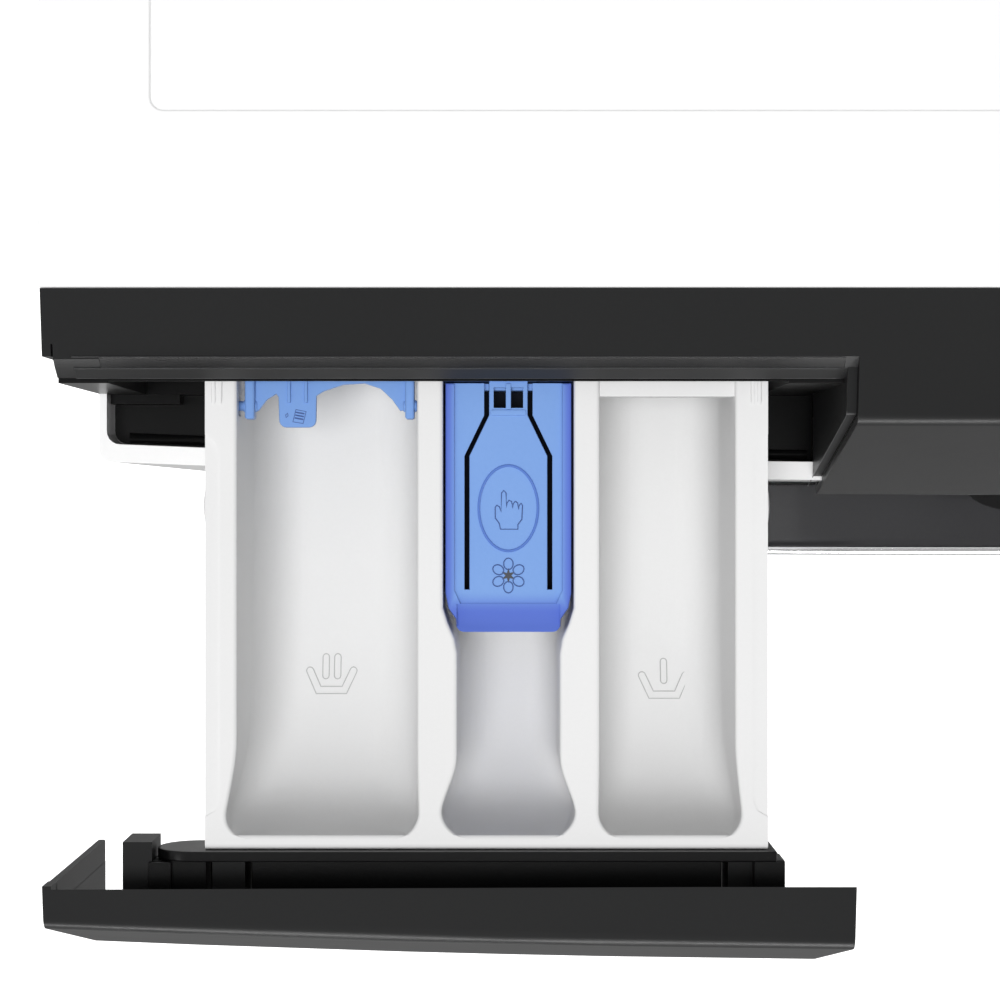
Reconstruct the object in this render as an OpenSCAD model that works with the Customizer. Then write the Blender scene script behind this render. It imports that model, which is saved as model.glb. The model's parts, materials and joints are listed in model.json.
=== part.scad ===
// Front loading washing machine, free-standing, with its detergent drawer pulled out.
// Millimetres. +Z is up and the front faces -Y. The origin is on the floor under the
// middle of the whole machine with the drawer open. Every module draws in a frame whose
// Y = 0 is the front edge of the worktop; placed() moves that frame to the origin.

/* [Overall] */
// Width across the worktop and the fascia
body_w = 598; // [480:1:720]
// Height from the floor to the top of the worktop
body_h = 850; // [700:1:1020]
// Depth of the cabinet behind the front edge of the worktop
body_d = 545; // [450:1:660]
// Thickness of the worktop
top_t = 17; // [12:0.5:20]
// How much narrower the cabinet is than the worktop, each side
side_step = 3; // [2:0.5:6]

/* [Front] */
// How far the middle of the front stands ahead of its ends
bow_sag = 6.5; // [3:0.5:12]
// Distance of the fascia's lower edge ahead of the worktop
face_out = 60.5; // [58:0.5:72]
// Height of the fascia, measured down from the top
face_h = 104; // [100:1:120]
// Distance of the white panel ahead of the worktop
panel_out = 56.2; // [50:0.2:56.4]
// Depth of the panel's upper rim below the top
panel_drop = 89; // [84:1:92]
// Wall of the fascia and the drawer front
skin = 2.8; // [2:0.1:4]

/* [Drawer] */
// Width of the opening for the drawer front
notch_w = 239.6; // [200:0.2:290]
// How far the drawer stands open at rest
drawer_out = 156.5; // [120:0.5:190]
// Width of the detergent tray
tray_w = 170.8; // [142:0.2:205]
// Length of the detergent tray
tray_l = 244.3; // [204:0.1:294]
// Depth of the tray from its rim to its lowest outside face
tray_h = 65; // [54:1:66]

/* [Door and drum] */
// Width of the gap left between the tub and the worktop's half width
tub_margin = 31; // [26:1:50]
// Difference between the tub's radius and the door's radius
door_less = 28; // [20:1:40]
// Difference between the tub's radius and the porthole's radius
port_less = 100; // [90:1:110]
// Thickness of the door from its back to its front trim
door_t = 25.3; // [22:0.1:32]
// Radial gap between the drum and the tub's outside
drum_less = 26; // [24:1:32]
// Radius of the big drum pulley
pulley_r = 140; // [115:1:168]

/* [Controls] */
// Radius of the programme knob
knob_r = 20; // [16:0.5:24]
// How far the knob stands out of the fascia
knob_h = 16; // [12:0.5:20]

/* [Hidden] */
$fn = 96;
bow_fn = 256;
gap = 0.3;
run = 0.06;
half_w = body_w / 2;
cab_x = half_w - side_step;
bow_r = (half_w * half_w + bow_sag * bow_sag) / (2 * bow_sag);
bow_a = 2 * asin((half_w + 3) / bow_r);
sheet = 1.2;
hem = 4.8;
top_z = body_h - top_t;
panel_top = body_h - panel_drop;
face_low = body_h - face_h;

// front section: a sloping top, a soft bend, a leaning face and a small lower fillet
top_step = 2;
top_fall = 10;
bend_r = 5;
bend_y = 35.9;
bend_z = body_h - 13.4;
low_r = 3;
lean = atan((face_out - 41.3) / (face_h - 19.5));
low_z = face_low + low_r;
low_y = bend_y + bend_r / cos(lean) + (bend_z - low_z) * tan(lean) - low_r / cos(lean);
back_run = 44.6;
bend_n = 5;
bow_n = 24;

// opening for the drawer
notch_l = -half_w + side_step;
notch_r = -half_w + notch_w;
lap = 3;
joint_gap = 0.8;
lip_y = 20;
wall_y = 27.4;
mouth_back = 6;
mouth_l = notch_l + 15;
mouth_low = body_h - 94;
mouth_high = body_h - 18;
tray_x = notch_l + 128.9;
tray_l_x = tray_x - tray_w / 2;
tray_r_x = tray_x + tray_w / 2;
mouth_r = tray_r_x + 5.7;
tray_front = -12.3;
tray_rear = tray_front + tray_l;
rim_z = body_h - 22;
tray_low = rim_z - tray_h;
rib = 7.9;
cell_l = [tray_l_x + 9.7, tray_l_x + 64.3];
cell_r = [tray_r_x - 51, tray_r_x - 10];
cell_m = [cell_l[1] + rib, cell_r[0] - rib];
open_y = -drawer_out;

// tub, drum and door share one axis
axis_z = (body_h + 60) / 2;
tub_r = min(half_w - tub_margin, (body_h - 314) / 2);
tub_wall = 3.5;
tub_y0 = 45;
tub_y1 = body_d - 150;
seam_y = (tub_y0 + tub_y1) / 2;
drum_r = tub_r - drum_less;
drum_y0 = tub_y0 + 17;
drum_y1 = tub_y1 - 26;
shaft_r = 15;
pulley_y = tub_y1 + 45;
pulley_t = 16;
spider_t = 16;
port_r = tub_r - port_less;
door_r = tub_r - door_less;
door_back = panel_out + 1;
door_front = door_back + door_t;
bowl_r = port_r - 18;
hinge_x = -door_r + 4;
hinge_y = -door_back - 10.8;
hook_x = door_r - 32;
motor_r = 60;
motor_x = 40;
motor_z = axis_z - tub_r - 9 - motor_r;
motor_y0 = seam_y + 15;
motor_y1 = tub_y1 + 5;
small_r = 11;
hang_x = 0.84 * tub_r;
hang_y = seam_y + 65;
hang_z = axis_z + sqrt(tub_r * tub_r - hang_x * hang_x) + 24;
rail_z = top_z - 30;
leg_x = 0.69 * tub_r;
leg_z = axis_z - sqrt(tub_r * tub_r - leg_x * leg_x) - 16;
base_x = leg_x + 47;
base_z = 70;
leg_len = sqrt(pow(base_x - leg_x, 2) + pow(leg_z - base_z, 2));
leg_tilt = atan((base_x - leg_x) / (leg_z - base_z));
pin_r = 5;

// controls on the leaning face
knob_x = notch_r + 82.4;
free_w = half_w - knob_x;
screen_x = knob_x + free_w * 0.36;
screen_w = free_w * 0.34;
power_x = knob_x + free_w * 0.66;
start_x = knob_x + free_w * 0.83;
key_r = 8.5;
mid_drop = 55;
face_mid = bend_y + bend_r / cos(lean) + (bend_z - (body_h - mid_drop)) * tan(lean);

// lower front
kick_top = 102;
kick_low = 14;
floor_z = 20;
flap_x = half_w - 99;
flap_w = 104;
flap_h = 66;
pump_z = 58;
foot_x = cab_x - 46;
foot_y = [42, body_d - 40];
rear_y = body_d - 5;

stub_l = 14;
y_front = -(low_y + low_r) + bow(notch_r + lap - joint_gap) + open_y;
y_back = rear_y + sheet + stub_l;
y_shift = -(y_front + y_back) / 2;

function bow(x) = bow_r - sqrt(bow_r * bow_r - x * x);
function polar(c, r, a) = [c[0] + r * cos(a), c[1] + r * sin(a)];

module placed() {
    translate([0, y_shift, 0]) children();
}

module with_drawer() {
    translate([0, y_shift + open_y, 0]) children();
}

// box from one corner to the other
module span(a, b) {
    translate(a) cube(b - a);
}

// sweeps a (Y, Z) outline along X
module along_x(x0, x1) {
    translate([x0, 0, 0]) rotate([90, 0, 90]) linear_extrude(height = x1 - x0) children();
}

// turns an (X = distance forward, Y = height) outline about the far-off axis of the bow
module bowed() {
    translate([0, bow_r, 0])
    rotate([0, 0, -90 - bow_a / 2])
    rotate_extrude(angle = bow_a, $fn = bow_fn)
    translate([bow_r, 0])
    children();
}

// turns an (X = radius, Y = depth) outline about the drum's axis
module about_drum() {
    translate([0, 0, axis_z]) rotate([-90, 0, 0]) rotate_extrude($fn = 144) children();
}

// solid disc on an axis along Y
module disc_y(x, z, r, y0, y1) {
    translate([x, y0, z]) rotate([-90, 0, 0]) cylinder(r = r, h = y1 - y0);
}

// outline of the leaning front, set in by t from the outer skin
module front_section(t) {
    c = [bend_y, bend_z];
    low = [low_y, low_z];
    far = [bend_y - back_run * cos(top_fall), bend_z + back_run * sin(top_fall)];
    turn = 90 - top_fall - lean;
    round_low = max(low_r - t, 0.2);
    bend = [for (i = [0 : bend_n]) polar(c, bend_r - t, 90 - top_fall - turn * i / bend_n)];
    foot = [for (i = [0 : bend_n]) polar(low, round_low, lean - (90 + lean) * i / bend_n)];
    p_back = polar(far, bend_r - t, 90 - top_fall);
    polygon(concat([p_back], bend, foot, [[p_back[0], low[1] - round_low]]));
}

module front_solid(t) {
    bowed() front_section(t);
}

// space kept by the white panel behind the lower edge of the fascia
module panel_space() {
    intersection() {
        bowed()
        polygon([
            [-20, face_low - 5],
            [panel_out + gap, face_low - 5],
            [panel_out + gap, panel_top + 1.2],
            [-20, panel_top + 1.2]
        ]);
        span([-cab_x - gap, -100, face_low - 10], [cab_x + gap, 10, panel_top + 5]);
    }
}

// stands children on the leaning face: local Z points out of it
module on_face(x) {
    translate([x, -face_mid + bow(x), body_h - mid_drop])
    rotate([0, 0, asin(x / bow_r)])
    rotate([90 - lean, 0, 0])
    children();
}

// outline in plan of the white panel: gently bowed, with softly rounded front corners
module panel_plan(out, half) {
    r = 4.4;
    x1 = half - r;
    c_y = -out + bow(x1) + r;
    left = [for (i = [0 : bend_n]) polar([-x1, c_y], r, 180 + 90 * i / bend_n)];
    front = [for (i = [1 : bow_n - 1]) [-x1 + 2 * x1 * i / bow_n, -out + bow(-x1 + 2 * x1 * i / bow_n)]];
    right = [for (i = [0 : bend_n]) polar([x1, c_y], r, 270 + 90 * i / bend_n)];
    polygon(concat([[-half, 0]], left, front, right, [[half, 0]]));
}

// ---- cabinet ----

// two side sheets with front and rear flanges, joined by a floor strip at the back
module cabinet_shell() {
    flange = 22;
    color([0.93, 0.93, 0.93])
    placed()
    difference() {
        union() {
            span([-cab_x, 0, floor_z], [cab_x, rear_y, top_z]);
        }
        span([-cab_x + sheet, sheet, floor_z - 1], [cab_x - sheet, rear_y - sheet, top_z + 1]);
        span([-cab_x + flange, -1, floor_z - 1], [cab_x - flange, sheet + 1, top_z + 1]);
        span([-cab_x + flange, rear_y - sheet - 1, floor_z + 60],
             [cab_x - flange, rear_y + 1, top_z + 1]);
    }
}

// channel across the top that carries the tub springs
module cross_rail() {
    deep = 34;
    color([0.75, 0.77, 0.78])
    placed()
    difference() {
        span([-cab_x + sheet, hang_y - deep / 2, rail_z], [cab_x - sheet, hang_y + deep / 2, top_z]);
        span([-cab_x, hang_y - deep / 2 + sheet, rail_z + 2], [cab_x, hang_y + deep / 2 - sheet, top_z + 1]);
    }
}

module valve_place() {
    translate([-half_w + 92, rear_y + sheet, top_z - 78]) children();
}

module rear_panel() {
    low = floor_z + 62;
    color([0.78, 0.79, 0.80])
    placed()
    difference() {
        union() {
            span([-cab_x + 8, rear_y, low], [cab_x - 8, rear_y + sheet, top_z - 6]);
            for (z = [axis_z - tub_r * 0.7, axis_z + tub_r * 0.7])
                span([-tub_r * 0.62, rear_y + sheet, z - 9], [tub_r * 0.62, rear_y + 4, z + 9]);
            translate([0, rear_y + sheet, axis_z])
                rotate([-90, 0, 0])
                difference() {
                    cylinder(r = tub_r * 0.52, h = 3);
                    translate([0, 0, -1]) cylinder(r = tub_r * 0.52 - 12, h = 5);
                }
        }
        for (x = [-1, 1], z = [-1, 1])
            disc_y(x * (cab_x - 48), axis_z + z * tub_r * 0.52, 11, rear_y - 1, rear_y + 6);
        valve_place() translate([0, -5, 0]) rotate([-90, 0, 0]) cylinder(r = 19, h = 12);
        disc_y(cab_x - 60, top_z - 60, 11, rear_y - 1, rear_y + 6);
        disc_y(-cab_x + 70, low + 30, 11, rear_y - 1, rear_y + 6);
    }
}

module rear_screws() {
    color([0.55, 0.56, 0.58])
    placed()
    for (x = [-cab_x + 15, cab_x - 15])
        for (z = [floor_z + 90, axis_z, top_z - 40])
            translate([x, rear_y + sheet, z])
            rotate([-90, 0, 0])
            difference() {
                cylinder(r = 4.4, h = 3);
                translate([0, 0, 1.2]) cylinder(r = 2.2, h = 3, $fn = 6);
            }
}

// plastic caps that close the four transit bolt holes
module transit_caps() {
    color([0.20, 0.21, 0.22])
    placed()
    for (x = [-1, 1], z = [-1, 1])
        translate([x * (cab_x - 48), rear_y, axis_z + z * tub_r * 0.52])
        rotate([-90, 0, 0])
        union() {
            translate([0, 0, sheet]) cylinder(r = 16, h = 3);
            translate([0, 0, -12]) cylinder(r = 11, h = 12 + sheet);
        }
}

module damper_bracket(side) {
    for (y = [hang_y - 11, hang_y + 7])
        span([side * base_x - 13, y, floor_z + 4], [side * base_x + 13, y + 4, base_z + 12]);
    disc_y(side * base_x, base_z, pin_r, hang_y - 11, hang_y + 11);
}

// shallow floor tray with foot sockets, damper brackets and a pump seat
module base_tray() {
    rim = 22;
    color([0.22, 0.23, 0.24])
    placed()
    difference() {
        union() {
            difference() {
                span([-cab_x + sheet, sheet, floor_z], [cab_x - sheet, rear_y - sheet, floor_z + rim]);
                span([-cab_x + sheet + 4, sheet + 4, floor_z + 4],
                     [cab_x - sheet - 4, rear_y - sheet - 4, floor_z + rim + 1]);
            }
            for (x = [-foot_x, foot_x], y = foot_y)
                translate([x, y, floor_z + 2]) cylinder(r = 16, h = 26);
            damper_bracket(-1);
            damper_bracket(1);
            span([flap_x - 34, 16, floor_z + 4], [flap_x + 34, 92, pump_z - 30]);
        }
        for (x = [-foot_x, foot_x], y = foot_y)
            translate([x, y, floor_z - 1]) cylinder(r = 5 + run, h = 40);
        disc_y(flap_x, pump_z, 30 + gap, sheet - 1, sheet + 5);
    }
}

module foot_nuts() {
    color([0.62, 0.63, 0.65])
    placed()
    for (x = [-foot_x, foot_x], y = foot_y)
        translate([x, y, floor_z - 6])
        difference() {
            cylinder(r = 10, h = 6, $fn = 6);
            translate([0, 0, -1]) cylinder(r = 5 + run, h = 8);
        }
}

// rubber-soled levelling foot on its threaded stem
module foot(x, y) {
    color([0.16, 0.16, 0.17])
    placed()
    translate([x, y, 0])
    union() {
        cylinder(r = 22, h = 7);
        translate([0, 0, 7]) cylinder(r = 14, h = 3);
        translate([0, 0, 10]) cylinder(r = 5, h = 50);
    }
}

// white front sheet, bowed, with a hemmed top rim, returned sides and a porthole collar
module front_panel() {
    low = kick_top + 2;
    leg = 17;
    color([0.93, 0.93, 0.93])
    placed()
    difference() {
        union() {
            difference() {
                translate([0, 0, low]) linear_extrude(height = panel_top - low) panel_plan(panel_out, cab_x);
                translate([0, 0, low + sheet])
                    linear_extrude(height = panel_top - low - 2 * sheet)
                    panel_plan(panel_out - sheet, cab_x - sheet);
                translate([0, 0, panel_top - sheet - 1])
                    linear_extrude(height = 3 + sheet)
                    panel_plan(panel_out - hem - sheet, cab_x - 2.6);
            }
            intersection() {
                translate([0, 0, panel_top - leg])
                    linear_extrude(height = leg)
                    difference() {
                        panel_plan(panel_out - hem, cab_x - sheet);
                        panel_plan(panel_out - hem - sheet, cab_x - 2.6);
                    }
                span([-cab_x, -100, panel_top - leg], [cab_x, -30, panel_top]);
            }
            intersection() {
                about_drum()
                    polygon([
                        [port_r, -panel_out - 2], [port_r + sheet, -panel_out - 2],
                        [port_r + sheet, -panel_out + 26], [port_r, -panel_out + 26]
                    ]);
                translate([0, 0, low]) linear_extrude(height = panel_top - low) panel_plan(panel_out, cab_x);
            }
        }
        disc_y(0, axis_z, port_r, -panel_out - 5, -panel_out + 12);
        span([-tub_r, -30, low - 1], [tub_r, 1, low + 10]);
        span([hook_x - 15, -panel_out - 5, axis_z - 13], [hook_x + 15, -panel_out + 12, axis_z + 13]);
        for (z = [axis_z - 40, axis_z + 30])
            span([hinge_x - 4, -panel_out - 5, z], [hinge_x + 4, -panel_out + 12, z + 10]);
    }
}

// plinth below the white panel, with the opening for the pump filter
module kick_plate() {
    color([0.93, 0.93, 0.93])
    placed()
    difference() {
        translate([0, 0, kick_low])
            linear_extrude(height = kick_top - kick_low)
            panel_plan(panel_out - 2, cab_x);
        translate([0, 0, kick_low - 1])
            linear_extrude(height = kick_top - kick_low - sheet)
            panel_plan(panel_out - 4.5, cab_x - 2.5);
        span([flap_x - flap_w / 2, -100, kick_low + 10],
             [flap_x + flap_w / 2, -20, kick_low + 10 + flap_h]);
        span([-cab_x + 20, -40, kick_top - 5], [cab_x - 20, 1, kick_top + 1]);
    }
}

// flat top with a very shallow sunk field
module worktop() {
    inset = 33;
    front_inset = 52;
    deep = 1.2;
    field_r = 4;
    x0 = half_w - inset;
    color([0.95, 0.95, 0.95])
    placed()
    difference() {
        span([-half_w, 0, top_z], [half_w, body_d, body_h]);
        span([-x0 + field_r, front_inset, body_h - deep], [x0 - field_r, body_d - inset, body_h + 1]);
        span([-x0, front_inset + field_r, body_h - deep],
             [x0, body_d - inset - field_r, body_h + 1]);
        for (x = [-x0 + field_r, x0 - field_r])
            for (y = [front_inset + field_r, body_d - inset - field_r])
                translate([x, y, body_h - deep]) cylinder(r = field_r, h = 2);
    }
}

// ---- fascia ----

// keeps the straight strip above the drawer: bevelled front edge over a hooked lip
module lip_outline() {
    polygon([
        [0, body_h], [-lip_y, body_h], [-lip_y, body_h - 5.8], [-lip_y - 3.2, body_h - 9.6],
        [-lip_y - 6, body_h - 14], [-lip_y - 6, body_h - 17], [-lip_y - 3.6, body_h - 17],
        [-lip_y - 3.2, body_h - 14], [-lip_y, body_h - 9.4], [0, body_h - 6]
    ]);
}

module control_fascia() {
    color([0.15, 0.155, 0.16])
    placed()
    difference() {
        union() {
            difference() {
                union() {
                    intersection() {
                        front_solid(0);
                        span([notch_r + lap, -100, face_low - 1], [half_w, 0, body_h]);
                    }
                    intersection() {
                        front_solid(skin + 0.4);
                        span([notch_r, -100, panel_top + 1.2], [notch_r + lap + 1, 0, body_h]);
                    }
                }
                intersection() {
                    front_solid(skin);
                    span([notch_r + lap, -100, face_low - 1], [half_w - skin, 1, body_h]);
                }
                panel_space();
            }
            intersection() {
                front_solid(0);
                along_x(notch_l + gap, notch_r + lap) lip_outline();
            }
            intersection() {
                front_solid(0);
                difference() {
                    span([-half_w, -lip_y, face_low], [notch_l + gap + skin, 0, body_h]);
                    span([notch_l - gap, -lip_y - 1, face_low - 1], [notch_l + skin + 1, 1, body_h - 6]);
                }
            }
        }
        on_face(knob_x) translate([0, 0, -12]) cylinder(r = 3.6, h = 20);
        on_face(screen_x) translate([-screen_w / 2, -15, -1.2]) cube([screen_w, 30, 10]);
        on_face(screen_x) translate([-screen_w / 2 + 4, -11, -8]) cube([screen_w - 8, 22, 12]);
        for (x = [power_x, start_x])
            on_face(x) translate([0, 0, -12]) cylinder(r = key_r + 0.4, h = 20);
    }
}

// black surround of the drawer opening: floor, back wall with its mouth, side tongue
module dispenser_shroud() {
    wall = 2;
    ledge_x = notch_l + 26;
    color([0.03, 0.03, 0.032])
    placed()
    difference() {
        union() {
            intersection() {
                translate([0, 0, face_low - wall])
                    linear_extrude(height = wall)
                    panel_plan(panel_out - hem - sheet - 0.4, cab_x - 2.9);
                span([-cab_x, -100, face_low - 5], [notch_r + 2, -wall_y + wall, face_low + 5]);
            }
            intersection() {
                bowed() translate([panel_out - hem - sheet - 2.6, face_low]) circle(r = 1.7);
                span([-cab_x + 8, -100, face_low - 1], [notch_r, -30, face_low + 5]);
            }
            span([-cab_x + 2.9, -wall_y, face_low - wall], [notch_r, -wall_y + wall, body_h - 17]);
            span([notch_l, -wall_y, panel_top + gap], [notch_l + 3, -wall_y + wall, body_h - 17]);
            span([-cab_x + 2.9, -wall_y - 3.1, face_low - 1], [ledge_x, -wall_y, face_low + 9]);
            span([mouth_l - wall, -wall_y + wall, mouth_low - wall],
                 [mouth_r + wall, -mouth_back, body_h - 17]);
        }
        span([mouth_l, -wall_y - 1, mouth_low], [mouth_r, -mouth_back + 1, mouth_high]);
        span([mouth_l, -wall_y - 1, mouth_low], [mouth_r, -wall_y + 2 * gap, body_h - 16]);
    }
}

// box the tray runs in, with two floor runners and a drain spigot at the rear
module dispenser_housing() {
    wall = 2;
    x0 = tray_l_x - 3.8;
    x1 = tray_r_x + 3.8;
    low = tray_low - 3;
    rear = tray_rear + 16;
    spigot = 20;
    color([0.80, 0.80, 0.79])
    placed()
    difference() {
        union() {
            span([x0 - wall, -mouth_back, low - wall], [x1 + wall, rear, body_h - 17.6]);
            span([mouth_l - wall, -mouth_back, mouth_low - wall],
                 [mouth_r + wall, -mouth_back + wall, body_h - 17.6]);
            translate([tray_x, rear - 28, low - wall - 14]) cylinder(r = spigot, h = 16);
        }
        difference() {
            span([x0, -mouth_back - 1, low], [x1, rear - wall, body_h - 19.6]);
            for (x = [x0 + 16, x1 - 20])
                span([x, -mouth_back - 2, low - 1], [x + 4, rear, low + 2.6]);
        }
        translate([tray_x, rear - 28, low - wall - 15]) cylinder(r = spigot - 2, h = 20);
    }
}

// double solenoid valve whose threaded inlet stands out of the rear panel
module inlet_valve() {
    color([0.86, 0.86, 0.84])
    placed()
    valve_place()
    difference() {
        union() {
            rotate([-90, 0, 0]) cylinder(r = 24, h = 3);
            rotate([-90, 0, 0]) cylinder(r = 13.2, h = stub_l);
            translate([0, -30, 0]) rotate([-90, 0, 0]) cylinder(r = 15, h = 30);
            span([-17, -46, -20], [17, -28, 24]);
        }
        translate([0, -20, 0]) rotate([-90, 0, 0]) cylinder(r = 9.5, h = 40);
    }
}

// strain relief grommet where the mains lead leaves
module mains_inlet() {
    color([0.10, 0.10, 0.11])
    placed()
    translate([cab_x - 60, rear_y, top_z - 60])
    rotate([-90, 0, 0])
    difference() {
        union() {
            translate([0, 0, -8]) cylinder(r = 11, h = 9.2);
            translate([0, 0, sheet]) cylinder(r = 15, h = 3);
            translate([0, 0, sheet]) cylinder(r = 7.5, h = stub_l);
        }
        translate([0, 0, -9]) cylinder(r = 3.9, h = 30);
    }
}

// shallow electronics box behind the fascia, with the encoder sleeve for the knob
module control_board() {
    color([0.18, 0.30, 0.24])
    placed()
    difference() {
        union() {
            span([knob_x - 34, -34, panel_top + 8], [half_w - 22, -12, body_h - 22]);
            on_face(knob_x) translate([0, 0, -26]) cylinder(r = 8, h = 20);
        }
        on_face(knob_x) translate([0, 0, -20]) cylinder(r = 3 + run, h = 30);
        for (x = [power_x, start_x])
            on_face(x) translate([0, 0, -20]) cylinder(r = 4.4, h = 30);
    }
}

// smoked window over the display
module display_window() {
    color([0.02, 0.02, 0.025])
    placed()
    on_face(screen_x)
    translate([-screen_w / 2, -15, -1.2])
    cube([screen_w, 30, 1.2]);
}

// knob seen from above as a shallow dome on a short skirt
module programme_knob() {
    skirt = knob_h * 0.62;
    dome_r = knob_r * 1.45;
    color([0.13, 0.135, 0.14])
    placed()
    on_face(knob_x)
    union() {
        difference() {
            intersection() {
                translate([0, 0, 0.5]) cylinder(r = knob_r, h = knob_h - 0.5);
                translate([0, 0, knob_h - dome_r]) sphere(r = dome_r);
            }
            translate([0, 0, 0]) difference() {
                cylinder(r = knob_r - 2.5, h = skirt);
                translate([0, 0, -1]) cylinder(r = 5.5, h = skirt + 2);
            }
            translate([-0.8, knob_r * 0.45, knob_h - 1.2]) cube([1.6, knob_r * 0.4, 3]);
        }
        translate([0, 0, -18]) cylinder(r = 3, h = 20);
    }
}

// round push key with a guide stem
module push_key(x) {
    color([0.60, 0.61, 0.62])
    placed()
    on_face(x)
    union() {
        translate([0, 0, -3]) cylinder(r = key_r, h = 5);
        translate([0, 0, -4]) cylinder(r = key_r + 1.6, h = 1);
        translate([0, 0, -17]) cylinder(r = 3.6, h = 14);
    }
}

// ---- drawer, drawn closed and pulled out by with_drawer ----

// side outline of the tray: deep at the back, swept up towards the front
module tray_side(t) {
    polygon([
        [tray_front + t, rim_z + (t > 0 ? 1 : 0)],
        [tray_front + t, rim_z - tray_h * 0.34],
        [tray_front + 12.3 + t * 0.7, tray_low + tray_h * 0.4 + t * 0.8],
        [tray_front + 37, tray_low + tray_h * 0.155 + t * 0.95],
        [tray_front + 73, tray_low + 2 + t * 0.9],
        [tray_front + 112, tray_low + t * 0.7],
        [tray_rear - t, tray_low + t * 0.7],
        [tray_rear - t, rim_z + (t > 0 ? 1 : 0)]
    ]);
}

module drawer_tray() {
    wall = 4.5;
    color([0.92, 0.92, 0.92])
    with_drawer()
    difference() {
        along_x(tray_l_x, tray_r_x) tray_side(0);
        for (c = [cell_l, cell_m, cell_r])
            along_x(c[0], c[1]) tray_side(wall);
        for (c = [cell_l, cell_r])
            span([c[0] + 3, tray_rear - wall - 1, tray_low + 6], [c[1] - 3, tray_rear + 1, rim_z - 24]);
        span([cell_l[0] - 1.2, 118.7, rim_z - 12], [cell_l[0] + 1, 126.7, rim_z + 1]);
        span([cell_l[1] - 1, 118.7, rim_z - 12], [cell_l[1] + 1.2, 126.7, rim_z + 1]);
    }
}

// peg moulded on the back of the drawer front
module front_peg(x0, x1, y1, z0, z1) {
    span([x0, -46, z0], [x1, y1, z1]);
}

// hollow front that carries on the fascia's shape; the rear is open
module drawer_front() {
    x1 = notch_r - joint_gap;
    x1_out = notch_r + lap - joint_gap;
    y_rear = -lip_y - joint_gap;
    color([0.16, 0.165, 0.17])
    with_drawer()
    union() {
        difference() {
            union() {
                intersection() {
                    front_solid(0);
                    span([-half_w, -100, face_low - 1], [x1_out, y_rear, body_h]);
                }
            }
            intersection() {
                front_solid(skin);
                span([-half_w + side_step - gap, -100, face_low - 5], [x1 + 1, 1, body_h]);
            }
            difference() {
                span([x1, -100, face_low - 5], [half_w, 0, body_h]);
                difference() {
                    front_solid(-1);
                    front_solid(skin);
                }
            }
            panel_space();
            span([-half_w - 1, -wall_y - 2 * gap, face_low - 5], [x1_out + 1, 1, body_h - 16.4]);
            along_x(-cab_x - gap, x1_out + 1)
                polygon([
                    [y_rear, body_h - 5.8], [y_rear - 3.2, body_h - 9.6],
                    [y_rear - 8.2, body_h - 20], [y_rear + 5, body_h - 20], [y_rear + 5, body_h - 5.8]
                ]);
        }
        intersection() {
            union() {
                front_peg(notch_l + 18.7, notch_l + 27.6, -9.7, body_h - 40, body_h - 21);
                front_peg(tray_l_x + 2, tray_l_x + 12, tray_front - 3.2, body_h - 50, body_h - 24);
                front_peg(tray_r_x - 12, tray_r_x - 2, tray_front - 3.2, body_h - 50, body_h - 24);
            }
            front_solid(skin);
        }
    }
}

// black carrier clipped to the tray's front, behind the drawer front
module drawer_bracket() {
    x0 = tray_l_x - 9;
    x1 = tray_r_x + 2.5;
    y0 = tray_front - 3.2;
    shelf_y = face_mid - 12;
    color([0.03, 0.03, 0.032])
    with_drawer()
    difference() {
        union() {
            span([x0 + 6, y0, rim_z - 22], [x1, tray_front, rim_z + 3]);
            translate([x0 + 6, tray_front, rim_z - 9.5]) rotate([90, 0, 0]) cylinder(r = 12.5, h = 3.2);
            span([x0 + 6, -shelf_y, rim_z - 24], [x1, y0 + 1, rim_z - 21]);
            span([tray_l_x + 14, y0 - 9, rim_z - 22], [tray_r_x - 14, y0 + 1, rim_z - 1]);
        }
        for (x = [tray_l_x + 2, tray_r_x - 12])
            span([x - gap, -shelf_y - 1, rim_z - 30], [x + 10 + gap, y0, rim_z + 6]);
    }
}

ins_l = cell_m[0] + 0.7;
ins_r = cell_m[1] - 0.7;
ins_mid = (ins_l + ins_r) / 2;
ins_y0 = 53.5;
ins_y1 = 129.4;
ins_top = rim_z - 1.5;
ins_deep = 33;
tab_root = 66.6;
tab_slim = 5.3;

// outline in plan of the finger tab: wide at its root, narrow at its free end
module tab_plan(grow) {
    wide = 11.4 + grow;
    slim = tab_slim + grow;
    polygon([
        [ins_mid - wide, tab_root - grow], [ins_mid + wide, tab_root - grow],
        [ins_mid + wide, 107.3], [ins_mid + slim, 119.7], [ins_mid + slim, ins_y1 + 1],
        [ins_mid - slim, ins_y1 + 1], [ins_mid - slim, 119.7], [ins_mid - wide, 107.3]
    ]);
}

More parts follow.
